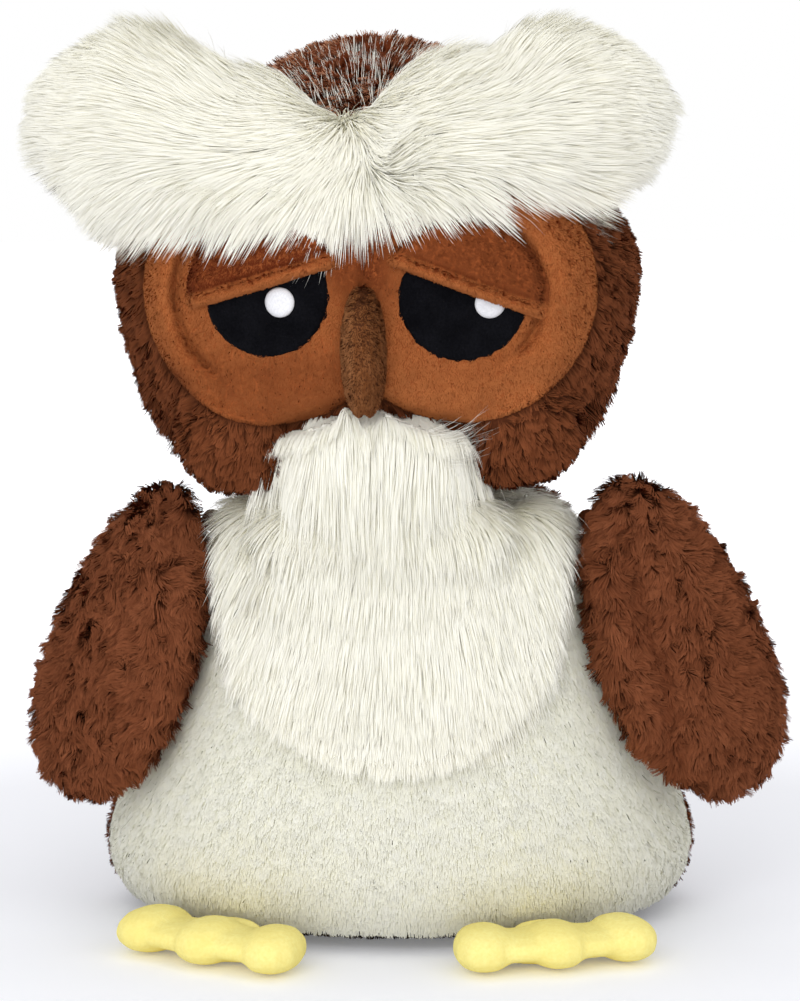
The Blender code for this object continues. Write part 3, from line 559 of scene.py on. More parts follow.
def blades(name, path, tone, tint, look, normals, material, seed):
    """A mesh of one thin tapered blade for each path. tone and tint are kept for the material.

    The bake's map has the tone and the tint across, and the way along the strand upwards.
    """
    rng = np.random.default_rng(seed)
    n, levels, _ = path.shape
    steps = levels - 1
    along = np.gradient(path, axis=1)
    flat = unit(np.cross(along, normals[:, None, :] + rng.normal(size=(n, 1, 3)) * 0.3))
    s = np.arange(levels) / steps
    half = look.width / 2 * (1 - (0.35 if look.blunt else 0.45) * s**1.5)
    half = half[None, :, None] * (0.8 + 0.4 * rng.random((n, 1, 1)))
    wide = levels if look.blunt else steps  # the levels that have two corners
    pairs = np.stack([path - flat * half, path + flat * half], 2)[:, :wide]
    verts = np.concatenate([pairs.reshape(n, wide * 2, 3), path[:, wide:]], 1)
    per = verts.shape[1]
    corners = [2 * k + i for k in range(wide - 1) for i in (0, 1, 3, 2)]
    if not look.blunt:
        corners += [2 * steps - 2, 2 * steps - 1, 2 * steps]
    loops = np.add.outer(np.arange(n) * per, corners).reshape(-1)
    starts = np.add.outer(np.arange(n) * len(corners), 4 * np.arange(steps)).reshape(-1)
    mesh = bpy.data.meshes.new(name)
    mesh.vertices.add(n * per)
    mesh.vertices.foreach_set("co", verts.reshape(-1).astype(np.float32))
    mesh.loops.add(len(loops))
    mesh.loops.foreach_set("vertex_index", loops.astype(np.int32))
    mesh.polygons.add(len(starts))
    mesh.polygons.foreach_set("loop_start", starts.astype(np.int32))
    mesh.update(calc_edges=True)

    level = np.concatenate([np.repeat(s[:wide], 2), s[wide:]])
    side = np.concatenate([np.tile([0.0, 1.0], wide), np.full(levels - wide, 0.5)])
    tone, tint = np.clip(tone, 0.0, 1.0), np.clip(tint, 0.0, 1.0)
    kept = {"tone": np.repeat(tone, per), "tint": np.repeat(tint, per), "along": np.tile(level, n)}
    for key, values in kept.items():
        mesh.attributes.new(key, "FLOAT", "POINT").data.foreach_set("value", values.astype(np.float32))
    band = np.floor(tint * (TINT_BANDS - 0.001))
    across = (band[:, None] + 0.06 + 0.82 * tone[:, None] + 0.06 * side[None]) / TINT_BANDS
    uv = np.stack([across, np.broadcast_to(0.02 + 0.96 * level, (n, per))], 2).reshape(-1, 2)
    layer = mesh.uv_layers.new(name="OFBake")
    layer.data.foreach_set("uv", uv[loops].reshape(-1).astype(np.float32))
    mesh.shade_smooth()
    along = unit(along)
    soft = np.broadcast_to(normals[:, None, :], along.shape)
    if look.free > 0:
        soft = unit(soft - along * (soft * along).sum(2, keepdims=True) + 0.2 * soft)
    soft = unit(soft + along * (0.15 if look.steps > 2 else 0.4))
    soft = np.concatenate([np.repeat(soft[:, :wide], 2, axis=1), soft[:, wide:]], 1)
    mesh.normals_split_custom_set_from_vertices(soft.reshape(-1, 3).astype(np.float32))
    return mesh_object(name, mesh, material)


MOST_FACES = 195000  # in one piece of pile; a larger pile is split into more pieces


def plant(name, look, ground, spacing, seed, comb, material, body, keep=None, share=None, tint=None,
          tone_by=None, hidden=None, facing=(0, 0, 0)):
    """Grows a pile on a skin and makes it ride with its body when one is given, in as many pieces as its
    faces need.

    comb, share, tint and tone_by are functions of the points and normals, and give each strand's way, length,
    tint and change of tone. The strands lean towards facing as they leave the skin.
    """
    roots, normals = scatter(ground, spacing, seed, keep, hidden)
    normals = unit(normals + facing)
    ways = comb(roots, normals)
    shares = 1.0 if share is None else share(roots, normals)
    path, tone = grown(look, roots, normals, ways, seed + 10, shares)
    if tone_by is not None:
        tone = tone + tone_by(roots, normals)
    tints = np.zeros(len(roots)) if tint is None else tint(roots, normals)
    each = MOST_FACES // (2 * look.steps - (0 if look.blunt else 1))
    parts = math.ceil(len(roots) / each)
    order = np.argsort(roots[:, 2], kind="stable")
    made = []
    for i, rows in enumerate(np.array_split(order, parts)):
        label = name if parts == 1 else f"{name}_{i + 1}"
        piece = blades(label, path[rows], tone[rows], tints[rows], look, normals[rows], material,
                       seed + 20 + i)
        if body is not None:  # else it is left with no body
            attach(piece, body)
        made.append(piece)
    return made


def flow(*way):
    """A comb that points the same way everywhere."""
    return lambda points, normals: np.broadcast_to(np.array(way, float), points.shape)


DOWN = flow(0, 0, -1)

SHORT = Pile(4.8 * MM, 0.32 * MM, lay=0.62, pull=0.35, tilt=0.20, curl=0.30, uneven=0.3, tone=0.13)
CREAM = Pile(3.4 * MM, 0.33 * MM, lay=0.86, clump=2.4 * MM, pull=0.08, tilt=0.05, curl=0.12, uneven=0.2,
             stray=0.04)
CURLY = Pile(6.8 * MM, 0.29 * MM, steps=2, lay=0.76, clump=2.6 * MM, pull=0.24, tilt=0.12, curl=0.65,
             wave=6.5 * MM, stray=0.08)
LONG = Pile(21 * MM, 0.3 * MM, steps=4, lay=0.94, droop=0.1, clump=5 * MM, pull=0.12, tilt=0.03,
            curl=0.10, wave=24 * MM, uneven=0.45, stray=0.04, tone=0.06, blunt=False, free=0.6)
CHEST = Pile(19 * MM, 0.3 * MM, steps=4, lay=0.95, droop=0.35, clump=5 * MM, pull=0.12, tilt=0.03,
             curl=0.09, wave=24 * MM, uneven=0.5, stray=0.04, tone=0.06, blunt=False, free=1.0)
WISPS = Pile(19 * MM, 0.15 * MM, steps=4, lay=0.7, droop=0.1, clump=6 * MM, pull=0.15, tilt=0.1,
             curl=0.20, wave=20 * MM, uneven=0.5, tone=0.10, blunt=False)
VELVET = Pile(1.3 * MM, 0.25 * MM, lay=0.66, clump=1.4 * MM, pull=0.10, tilt=0.16, curl=0.18, wave=3 * MM,
              stray=0.10, tone=0.07)


def make_fill(node, sink):
    """The stuffing under a soft skin, drawn in so that it stays under the cloth."""
    fill = skin(f"{node}_fill", (node,), "stuffing", 2.2 * MM, 5, sink)
    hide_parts(node)
    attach(fill, NODES[node]["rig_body"])


# Body

PILE_SINK = 2.2 * MM  # of a skin under its short pile
LONG_SINK = 8.5 * MM  # and under the brows' long fur
SEAM_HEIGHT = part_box("belly_panel")[0].z

BODY_NODES = ("belly_panel", "back_panel_left", "back_panel_right", "base_panel", "body_stuffing")
BIB_OUTLINE = [  # seen from the front
    mm(x, z) for x, z in (
        (-66, 172), (-60, 138), (-53, 93), (-46, 78), (-34, 68), (0, 60), (31, 63), (41, 74), (46, 88),
        (50, 118), (60, 138), (66, 172),
    )
]
CHEST_FILL = (  # balls (place, radii) up to under the chin
    (mm(-5, -39, 132), mm(40, 15, 13)),
    (mm(-5, -38, 116), mm(40, 14, 19)),
)


def on_bib(points, normals):
    return in_outline(points[:, 0], points[:, 2], BIB_OUTLINE) & (points[:, 1] < 0)


def bib_comb(points, normals):
    """Down, and outwards the further it is from the middle."""
    return unit(stacked(points[:, 0] * 6, 0.0, -1.0))


def make_body():
    whole = skin("body_form", BODY_NODES, "cream_ground", 2.2 * MM, 8, PILE_SINK)
    make_fill("body_stuffing", 3.5 * MM)
    middle, seam = (0, 0, 0), (0, 0, SEAM_HEIGHT)
    above, behind = (seam, (0, 0, -1)), (middle, (0, -1, 0))
    cuts = {
        "belly": ("belly_panel", [(middle, (0, 1, 0)), above], "cream", "cream_plush"),
        "back_left": ("back_panel_left", [behind, above, (middle, (-1, 0, 0))], "brown", "brown_plush"),
        "back_right": ("back_panel_right", [behind, above, (middle, (1, 0, 0))], "brown", "brown_plush"),
        "base": ("base_panel", [(seam, (0, 0, 1))], "dark", "dark_base"),
    }
    for i, (name, (node, planes, colour, slot)) in enumerate(cuts.items()):
        cloth = plane_cut(whole, f"{name}_cloth", planes, f"{colour}_ground")
        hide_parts(node)
        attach(cloth, "body")
        look = CREAM if name == "belly" else SHORT
        spacing = {"belly": 0.36 * MM, "base": 0.9 * MM}.get(name, 0.44 * MM)

        def keep(points, normals):
            stays = ~on_bib(points, normals)
            for place, way in planes:
                stays &= (points - place) @ way <= 0
            return stays

        def share(points, normals):
            if name == "base":
                return 0.25
            return 1.0 + 0.9 * smoothstep(124 * MM, 139 * MM, points[:, 2])

        plant(f"{name}_pile", look, whole, spacing, 100 + 50 * i, DOWN, f"{colour}_pile", "body", keep,
              share)
    chest = skin("chest_cloth", ("chest_bib",), "white_ground", 1.6 * MM, 18, 3 * MM, CHEST_FILL)

    def upper(points, normals):
        return 0.42 + 0.33 * smoothstep(64 * MM, 96 * MM, points[:, 2])

    plant("bib_fur", CHEST, whole, 0.66 * MM, 380, bib_comb, "white_pile", "body", on_bib, upper,
          hidden=hidden_by(whole, tree_of(chest), depth=1 * MM))
    bpy.data.objects.remove(whole)

    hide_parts("chest_bib")
    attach(chest, "body")

    def outer(points, normals):
        return (normals[:, 1] < 0.15) & (points[:, 2] > 61 * MM)

    def lower(points, normals):
        return 0.46 + 0.54 * smoothstep(64 * MM, 94 * MM, points[:, 2])

    plant("chest_fur", CHEST, chest, 0.46 * MM, 400, bib_comb, "white_pile", "body", outer,
          lower)


# Head

HEAD_NODES = ("head_panel_left", "head_panel_right", "face_panel_left", "face_panel_right", "head_stuffing")
CHEEKS = (  # balls (place, radii) that fill them, in the head's frame
    (mm(-43, -38, -52), mm(19, 17, 19)),
    (mm(-35, -40, -59), mm(10, 12, 12)),
    (mm(-36, -42, -48), mm(10, 12, 12)),
    (mm(49, -36, -51), mm(18, 17, 18)),
    (mm(41, -38, -58), mm(11, 12, 12)),
)
LOBE_SPREAD = 30 * MM  # of the face lobes' centres from the seam
LOBE_HEIGHT = -7 * MM
LOBE_RADIUS = 41.5 * MM
RIM_WIDTHS = {"left": 17 * MM, "right": 12 * MM}
RIM_RISE = 5 * MM
FACE_RISE = 2 * MM
EYE_PLACES = {"left": mm(30.5, -8), "right": mm(-30, -6)}
EYE_SIZE = 19.5 * MM
LID_SIZES = {"left": 27 * MM, "right": 26.5 * MM}
LID_TURNS = {"left": -22.0, "right": 16.5}  # of the hem, up to the viewer's right
LID_BROW_SHADES = {"left": 0.62, "right": 0.86}  # painted shade from the brow on the lid above its hem, over the hem's own tint
LID_LIFT = 2 * MM  # of the hem above the eye's centre
LID_RISE = 5.6 * MM
LID_HEM = 2.4 * MM  # half its height
NAP_SPACING = 0.26 * MM
AHEAD = 200 * MM  # of the head's centre, from where a sheet is laid on it
DOT_SIZE = 4.6 * MM
DOT_PLACES = {"left": mm(8, -1.8), "right": mm(4.6, -2.4)}


def from_head(balls):
    return [(HEAD @ Vector(place), radii) for place, radii in balls]


def lobe_room(points):
    """How far each point is out from the nearer face lobe's edge, seen from the front of the head."""
    flat = to_head(points)
    return np.hypot(np.abs(flat[:, 0]) - LOBE_SPREAD, flat[:, 2] - LOBE_HEIGHT) - LOBE_RADIUS


def quilt(name, centre, edge, height, tree, material, rings, spokes):
    """A sheet laid on a form, as seen from the front of the head.

    It has rings about a centre as far out as edge(angle) says, and height(x, z) raises it towards the front.
    """
    angles = np.arange(spokes) * 2 * math.pi / spokes
    way, reach = stacked(np.cos(angles), np.sin(angles)), edge(angles)[:, None]
    flat = np.concatenate([[centre], *(centre + reach * (k / rings) * way for k in range(1, rings + 1))])
    rises = height(flat[:, 0], flat[:, 1])
    verts = []
    for (x, z), rise in zip(flat, rises):
        hit = tree.ray_cast(HEAD @ Vector((x, -AHEAD, z)), HEAD_BACK)[0]
        if hit is None:
            hit = tree.find_nearest(HEAD @ Vector((x, 0.0, z)))[0]
        verts.append(hit - HEAD_BACK * rise)
    faces = [(0, 1 + j, 1 + (j + 1) % spokes) for j in range(spokes)]
    for k in range(rings - 1):
        a, b = 1 + k * spokes, 1 + (k + 1) * spokes
        faces += [(a + j, b + j, b + (j + 1) % spokes, a + (j + 1) % spokes) for j in range(spokes)]
    mesh = bpy.data.meshes.new(name)
    mesh.from_pydata(verts, [], faces)
    mesh.shade_smooth()
    return mesh_object(name, mesh, material)


def round_edge(centre, disc, lines):
    """How far it is, at each angle, from a centre to the edge of a disc (place, radius) cut by lines.

    Each line is a place on it and the way out over it.
    """
    place, size = disc

    def edge(angles):
        way = stacked(np.cos(angles), np.sin(angles))
        gap = np.subtract(centre, place)
        b = way @ gap
        found = -b + np.sqrt(np.maximum(b * b - gap @ gap + size * size, 0.0))
        for at, out in lines:
            slope = way @ out
            room = np.subtract(at, centre) @ out
            found = np.where(slope > 1e-6, np.minimum(found, room / np.maximum(slope, 1e-6)), found)
        return found

    return edge


def make_face(side, tree):
    sign = SIDES[side]
    centre = (sign * LOBE_SPREAD, LOBE_HEIGHT)
    band = RIM_WIDTHS[side]
    lumps = waves(31 + NTH[side], 16 * MM)

    def height(x, z):
        dx, dz = (x - centre[0]) * sign, z - centre[1]
        r = np.hypot(dx, dz)
        safe = np.maximum(r, MM)
        out = smoothstep(-0.20, 0.35, dx / safe) * smoothstep(-0.98, -0.55, dz / safe)
        t = np.clip((LOBE_RADIUS - r) / band, 0.0, 1.0)
        rim = np.sin(math.pi * t) ** 0.75 * RIM_RISE * out
        groove = -2.2 * MM * out * bell(LOBE_RADIUS - r - band, 1.6 * MM)
        dome = FACE_RISE * (1 - (r / LOBE_RADIUS) ** 2) * smoothstep(0.0, 10 * MM, x * sign)
        seam = -1.3 * MM * bell(x, 1.6 * MM)
        tuck = -4 * MM * smoothstep(LOBE_RADIUS - 2.2 * MM, LOBE_RADIUS, r)
        rough = 0.35 * MM * lumps(stacked(x, 0.0, z))
        return 1.6 * MM + rim + groove + dome + seam + tuck + rough

    edge = round_edge(centre, (centre, LOBE_RADIUS), [((0.0, 0.0), (-sign, 0.0))])
    face = quilt(f"face_{side}", centre, edge, height, tree, "tan_ground", 60, 200)

    def keep(points, normals):
        return lobe_room(points) < -0.6 * MM

    tone = waves(41, 14 * MM)

    # Dark red-brown tint: painted shade under the brows (high, partly the cloth's own darker colour), painted
    # shade low on the owl's right side (shade), and a darker patch between the eyes (bridge)
    def tint(points, normals):
        x, _, z = to_head(points).T
        bridge = (1 - smoothstep(5 * MM, 15 * MM, np.abs(x))) * smoothstep(-14 * MM, 2 * MM, z)
        high = smoothstep(8 * MM, 20 * MM, z) * (1 - smoothstep(38 * MM, 52 * MM, np.abs(x)))
        low = 1 - smoothstep(-32 * MM, -16 * MM, z)
        shade = 0.42 if side == "right" else 0.0
        return np.clip(0.78 * bridge + 0.5 * high + shade * low + 0.08 + 0.12 * tone(points), 0.0, 1.0)

    # Lighter over the padded rim: a painted highlight where the rim catches the light; the rest is random
    # tone
    def toned(points, normals):
        return 0.22 * smoothstep(-band - 2 * MM, -band / 2, lobe_room(points)) + 0.12 * tone(points)

    plant(f"face_{side}_nap", VELVET, face, NAP_SPACING, 500 + 20 * NTH[side], DOWN, "tan_pile", "head",
          keep, tint=tint, tone_by=toned)
    found = tree_of(face)
    closed(face)
    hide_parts(f"face_panel_{side}")
    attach(face, "head")
    return found


def make_eye(side, tree):
    place = np.array(EYE_PLACES[side])
    turn = math.radians(LID_TURNS[side])
    up = np.array([-math.sin(turn), math.cos(turn)])
    hem = place + up * LID_LIFT

    # Black felt, cut under the lid
    middle = place - up * 7 * MM
    edge = round_edge(middle, (place, EYE_SIZE), [(hem + up * 2 * MM, up)])
    frayed = waves(61 + NTH[side], 5 * MM)

    def eye_edge(angles):
        ring = stacked(np.cos(angles), np.sin(angles), 0.0) * EYE_SIZE
        return edge(angles) + 0.35 * MM * frayed(ring)

    def eye_height(x, z):
        r = np.hypot(x - place[0], z - place[1])
        return 1.3 * MM - 0.9 * MM * smoothstep(EYE_SIZE - 1 * MM, EYE_SIZE, r)

    eye = quilt(f"eye_felt_{side}", middle, eye_edge, eye_height, tree, "black_felt", 30, 120)
    eye_tree = tree_of(eye)
    closed(eye, 1.4 * MM)
    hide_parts(f"eye_{side}")
    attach(eye, "head")

    # White felt dot
    dot_place = place + np.array(DOT_PLACES[side])
    edge = round_edge(dot_place, (dot_place, DOT_SIZE), [(hem + up * 1.6 * MM, up)])

    def dot_height(x, z):
        r = np.hypot(x - dot_place[0], z - dot_place[1])
        return 1.3 * MM - 1 * MM * smoothstep(DOT_SIZE * 0.7, DOT_SIZE, r)

    dot = quilt(f"dot_{side}", dot_place, edge, dot_height, eye_tree, "white_felt", 8, 40)
    closed(dot)
    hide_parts(f"highlight_{side}")
    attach(dot, "head")

    # Padded lid with a rolled hem
    size = LID_SIZES[side]
    inner = hem + up * 9 * MM
    edge = round_edge(inner, (place, size), [(hem, -up)])
    sag = waves(71 + NTH[side], 14 * MM)

    def lid_height(x, z):
        flat = stacked(x, z) - hem
        high, r = flat @ up, np.hypot(x - place[0], z - place[1])
        roll = LID_RISE * np.sqrt(np.clip(1 - ((high - LID_HEM) / LID_HEM) ** 2, 0.0, 1.0))
        back = LID_RISE * (0.8 - 0.5 * smoothstep(4 * MM, 24 * MM, high))
        found = np.where(high < LID_HEM, roll, np.maximum(roll, back))
        found = found - 1.2 * MM * bell(high - 2 * LID_HEM, 1.2 * MM)
        ends = 1 - smoothstep(size - 5 * MM, size, r)
        rough = 0.3 * MM * sag(stacked(x, 0.0, z))
        return (found + rough) * ends - 1.2 * MM * (1 - ends) + 0.4 * MM

    lid = quilt(f"lid_{side}", inner, edge, lid_height, tree, "tan_ground", 44, 160)

    def above(points):
        return (to_head(points)[:, [0, 2]] - hem) @ up

    # Painted shade from the brow, over the lid above its hem
    def tint(points, normals):
        return 0.12 + LID_BROW_SHADES[side] * smoothstep(3.5 * MM, 6 * MM, above(points))

    # Lighter at the rolled hem: a painted highlight
    def toned(points, normals):
        return 0.15 * (1 - smoothstep(3 * MM, 5 * MM, above(points)))

    plant(f"lid_{side}_nap", VELVET, lid, NAP_SPACING, 540 + 20 * NTH[side], DOWN, "tan_pile", "head",
          tint=tint, tone_by=toned)
    closed(lid, 1 * MM)
    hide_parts(f"eyelid_{side}")
    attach(lid, "head")


def make_beak():
    form = skin("beak_cloth", ("beak_panel_left", "beak_panel_right", "beak_stuffing"), "suede_ground",
                0.8 * MM, 5, 0.5 * MM)
    points = points_of(form)
    flat = to_head(points)
    low, high = flat.min(0), flat.max(0)
    middle = (low + high) / 2
    front = np.clip((middle[1] - flat[:, 1]) / (middle[1] - low[1]), 0, 1)
    offset = flat[:, 0] - (middle[0] - 2 * MM)
    ridge = 0.9 * MM * np.exp(-np.abs(offset) / (1.2 * MM)) * front
    lowest = 1 - smoothstep(low[2], low[2] + 4 * MM, flat[:, 2])
    notch = -1.6 * MM * bell(flat[:, 0] - middle[0], 1.3 * MM) * lowest
    set_points(form, points - np.outer(ridge, HEAD_BACK) - np.outer(notch, HEAD_UP))
    streak = waves(81, 5 * MM)

    # The half on the owl's right, towards the key lamp, is lighter and the other half darker: painted light
    # and shade on the beak's two faces; the streaks are the suede's own
    def toned(points, normals):
        flat = to_head(points)
        left = 0.45 * (1 - smoothstep(middle[0] - 3 * MM, middle[0] - 1 * MM, flat[:, 0])) - 0.2
        return left - 0.1 + 0.1 * streak(points * (4, 2, 0.5))

    plant("beak_nap", VELVET, form, 0.27 * MM, 580, DOWN, "suede_pile", "beak", tone_by=toned)
    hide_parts("beak_panel_left", "beak_panel_right")
    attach(form, "beak")


BURST = mm(-17, 248)  # where the two brows meet, from the front
BURST_BALLS = (  # place and radii, in mm, of what joins the brows
    ((-17, -50, 252), (18, 15, 16)), ((-17, -56, 240), (19, 14, 13)), ((-27, -58, 232), (10, 10, 11)),
    ((6, -55, 237), (17, 12, 10)),
)
FOLD_REACH = 26 * MM  # from a brow's fold, where the hull keeps its form full


def brow_form(side):
    joint = Vector(joint_named(f"{side}_brow_flop")["pos_m"])
    base, tip = f"brow_base_{side}", f"brow_tip_{side}"
    near = [p for node in (base, tip) for p in points_of(NODES[node]) if abs(p[0] - joint.x) < FOLD_REACH]
    burst = [(Vector(place) * MM, Vector(radii) * MM) for place, radii in BURST_BALLS]
    made = skin(f"brow_{side}_cloth", (base, tip, f"brow_stuffing_{side}"), "white_ground", 2.2 * MM, 16,
                LONG_SINK, burst, near)
    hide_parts(base, tip)
    make_fill(f"brow_stuffing_{side}", LONG_SINK - 2 * MM)
    return made


def brow_comb(points, normals):
    """Away from the parting between the brows, down at the lower edge and back round the outer ends."""
    parting = np.clip(points[:, 2], BURST[1] - 2 * MM, BURST[1] + 12 * MM)
    away = stacked(points[:, 0] - BURST[0], 0.0, points[:, 2] - parting)
    reach = np.linalg.norm(away, axis=1, keepdims=True)
    away = away / np.maximum(reach, 8 * MM)
    below = 1 - smoothstep(-14 * MM, 6 * MM, points[:, 2] - BURST[1])
    outer = smoothstep(76 * MM, 100 * MM, np.abs(points[:, 0] - BURST[0]))
    away[:, 2] -= below * (0.45 + 0.45 * smoothstep(6 * MM, 36 * MM, reach[:, 0])) + 0.35 * outer
    away[:, 2] -= 0.8 * (1 - smoothstep(3 * MM, 16 * MM, reach[:, 0]))
    near = smoothstep(12 * MM, 24 * MM, reach[:, 0]) * (1 - smoothstep(40 * MM, 80 * MM, reach[:, 0]))
    away[:, 2] += 0.6 * near * smoothstep(0.1, 0.7, normals[:, 2])
    away[:, 1] += 1.3 * outer
    swirl = waves(91, 34 * MM, 3)(points)
    return unit(away + (0.18 + 0.4 * (1 - smoothstep(8 * MM, 34 * MM, reach))) * swirl)


def make_brow(side, form, head_tree):
    hidden = hidden_by(form, head_tree, depth=1 * MM)

    def share(points, normals):
        reach = np.hypot(points[:, 0] - BURST[0], points[:, 2] - BURST[1])
        outer = smoothstep(62 * MM, 90 * MM, reach)
        upper = smoothstep(0.2, 0.8, normals[:, 2])
        under = smoothstep(0.1, 0.7, -normals[:, 2]) * (1 - outer)
        middle = 1 - smoothstep(10 * MM, 40 * MM, reach)
        whole = 1 - 0.28 * middle * smoothstep(-0.3, 0.2, normals[:, 2])
        rim = smoothstep(60 * MM, 92 * MM, reach) * (1 - normals[:, 0] ** 2)
        under = under * (0.25 + 0.3 * smoothstep(0.0, 30 * MM, points[:, 0]))
        return whole * (1 - 0.2 * outer) * (1 - 0.25 * upper * outer) * (1 + under) * (1 - 0.5 * rim)

    made = []
    for kind, look, spacing, seed in (("fur", LONG, 0.45 * MM, 600), ("wisps", WISPS, 1.5 * MM, 650)):
        made += plant(f"brow_{side}_{kind}", look, form, spacing, seed + 100 * NTH[side], brow_comb,
                      "white_pile", None, share=share, hidden=hidden)
    for piece in (form, *made):
        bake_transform(piece)


CHIN_EDGES = mm(-34, 18)  # where its sides go back under the cheeks
CHIN_FILL = tuple(  # from the chin up to the seam under the face, in the head's frame
    (mm(x, y, z), mm(r, 10, 8)) for x, y, z, r in (
        (0, -44, -38, 9), (13, -42, -46, 11), (-13, -42, -46, 11), (26, -35, -51, 8), (-26, -35, -51, 9),
    )
)


def tuck_in(chin):
    """Draws the chin's edges back under the face and the cheeks."""
    points = points_of(chin)
    x = points[:, 0]
    top = 1 - smoothstep(-1 * MM, 11 * MM, lobe_room(points))
    low, high = CHIN_EDGES
    side = np.maximum(1 - smoothstep(low, low + 10 * MM, x), smoothstep(high - 9 * MM, high, x))
    back = np.maximum(3.5 * MM * top, 12 * MM * side)
    set_points(chin, points + np.outer(back, HEAD_BACK))


def make_head():
    whole = skin("head_form", HEAD_NODES, "brown_ground", 2.2 * MM, 8, PILE_SINK, from_head(CHEEKS))
    make_fill("head_stuffing", 7 * MM)
    brows = {side: brow_form(side) for side in SIDES}
    chin = skin("chin_cloth", ("chin_bib",), "white_ground", 1.6 * MM, 10, 2.4 * MM, from_head(CHIN_FILL))
    tuck_in(chin)
    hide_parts("chin_bib")
    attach(chin, "head")
    head_tree = tree_of(whole)
    covers = [tree_of(thing) for thing in (*brows.values(), chin)]

    for side, sign in SIDES.items():
        planes = [(HEAD.translation, -HEAD_LEFT * sign)]
        cloth = plane_cut(whole, f"head_{side}_cloth", planes, "brown_ground")
        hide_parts(f"head_panel_{side}")
        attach(cloth, "head")

    def keep(points, normals):
        return (lobe_room(points) >= -1 * MM) | (to_head(points)[:, 1] >= 0)

    def comb(points, normals):
        x, y, _ = to_head(points).T
        return unit(stacked(x * 8, y * 8, -0.9))

    def share(points, normals):
        _, y, z = to_head(points).T
        neck = smoothstep(0.3, 0.7, -normals[:, 2]) * smoothstep(-26 * MM, -16 * MM, y)
        return 1.0 + 0.35 * smoothstep(45 * MM, 60 * MM, z) + 1.3 * neck

    # Where the head's pile takes the lighter rust tint: the crown's own colour, partly painted light from
    # above
    def crown(points, normals):
        return smoothstep(44 * MM, 58 * MM, to_head(points)[:, 2])

    def on_crown(points, normals):
        x, _, z = to_head(points).T
        return (z > 47 * MM) & (np.abs(x) < 34 * MM) & (normals[:, 1] < -0.25)

    def crown_comb(points, normals):
        return unit(stacked(to_head(points)[:, 0] * 25, 0.0, 1.0))

    covered = hidden_by(whole, *covers, depth=2.5 * MM)
    plant("head_pile", SHORT, whole, 0.42 * MM, 300, comb, "brown_pile", "head", keep, share,
          crown, hidden=covered)
    plant("crown_wisps", WISPS, whole, 1.7 * MM, 340, crown_comb, "white_pile", "head", on_crown,
          lambda points, normals: 0.55, hidden=covered)

    face_trees = {side: make_face(side, head_tree) for side in SIDES}
    for side in SIDES:
        make_eye(side, face_trees[side])
    make_beak()
    for side in SIDES:
        make_brow(side, brows[side], head_tree)

    def front(points, normals):
        return (normals[:, 1] < 0.3) & (lobe_room(points) > -2 * MM)

    def chin_comb(points, normals):
        fan = np.clip((points[:, 0] + 6 * MM) / (28 * MM), -1, 1) ** 3
        return unit(stacked(fan * 0.18, 0.05, -1.0))

    def chin_share(points, normals):
        low = 1 - smoothstep(150 * MM, 170 * MM, points[:, 2])
        edge = smoothstep(-0.1, 0.6, -normals[:, 1])
        return (1.05 + 0.85 * low) * (0.55 + 0.45 * smoothstep(0.0, 8 * MM, lobe_room(points)) * edge)

    def cheek_edge(points, normals):
        return front(points, normals) & (points[:, 0] > 6 * MM) & (normals[:, 1] < -0.3)

    plant("chin_fur", CHEST, chin, 0.44 * MM, 440, chin_comb, "white_pile", "head", front,
          chin_share, facing=(0.0, -1.1, 0.0))
    plant("chin_wisps", WISPS, chin, 1.5 * MM, 470, flow(1.0, -0.2, 0.35), "white_pile", "head",
          cheek_edge)
    bpy.data.objects.remove(whole)


# Wings and feet

WING_SINKS = {"left": 0.8 * MM, "right": 2.4 * MM}
WING_FOLD = np.array([mm(66, 148), mm(92, 42)])  # from its top to its foot, in x and z


def make_wing(side):
    sign = SIDES[side]
    nodes = (f"wing_front_{side}", f"wing_back_{side}", f"wing_stuffing_{side}")
    form = skin(f"wing_{side}_cloth", nodes, "brown_ground", 2 * MM, 8, WING_SINKS[side])
    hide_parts(*nodes[:2])
    make_fill(nodes[2], 3 * MM)
    low, high = points_of(form).min(0), points_of(form).max(0)

    def groove(points):
        """How near each point is to the fold along the inner third."""
        top, foot = WING_FOLD * (sign, 1)
        way = (foot - top) / np.linalg.norm(foot - top)
        gap = points[:, [0, 2]] - top
        far = gap[:, 0] * way[1] - gap[:, 1] * way[0]
        return bell(far, 4.5 * MM) * (points[:, 1] < (low[1] + high[1]) / 2)

    if side == "left":
        points = points_of(form)
        depths = 2.5 * MM * groove(points)
        set_points(form, points - rows_of(form.data.vertices, "normal") * depths[:, None])

    swirl = waves(111 + NTH[side], 30 * MM, 3)

    def comb(points, normals):
        ahead = -0.8 * smoothstep(126 * MM, 144 * MM, points[:, 2])
        return unit(stacked(sign * 0.25, ahead, -1.0) + 0.7 * swirl(points))

    def share(points, normals):
        x = points[:, 0] * sign
        near, far = sorted((abs(low[0]), abs(high[0])))
        inward = 1 - smoothstep(near, (near + far) / 2, x)
        top = smoothstep(120 * MM, 145 * MM, points[:, 2])
        behind = smoothstep(-0.1, 0.5, normals[:, 1])
        return (0.9 + 0.35 * inward + 0.1 * top) * (1 - (0.3 + 0.3 * top) * behind)

    # Painted shade along the fold's groove
    def toned(points, normals):
        return -0.30 * groove(points)

    plant(f"wing_{side}_pile", CURLY, form, 0.36 * MM, 800 + 50 * NTH[side], comb, "wing_pile",
          f"wing_{side}", share=share, tone_by=toned if side == "left" else None)
    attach(form, f"wing_{side}")


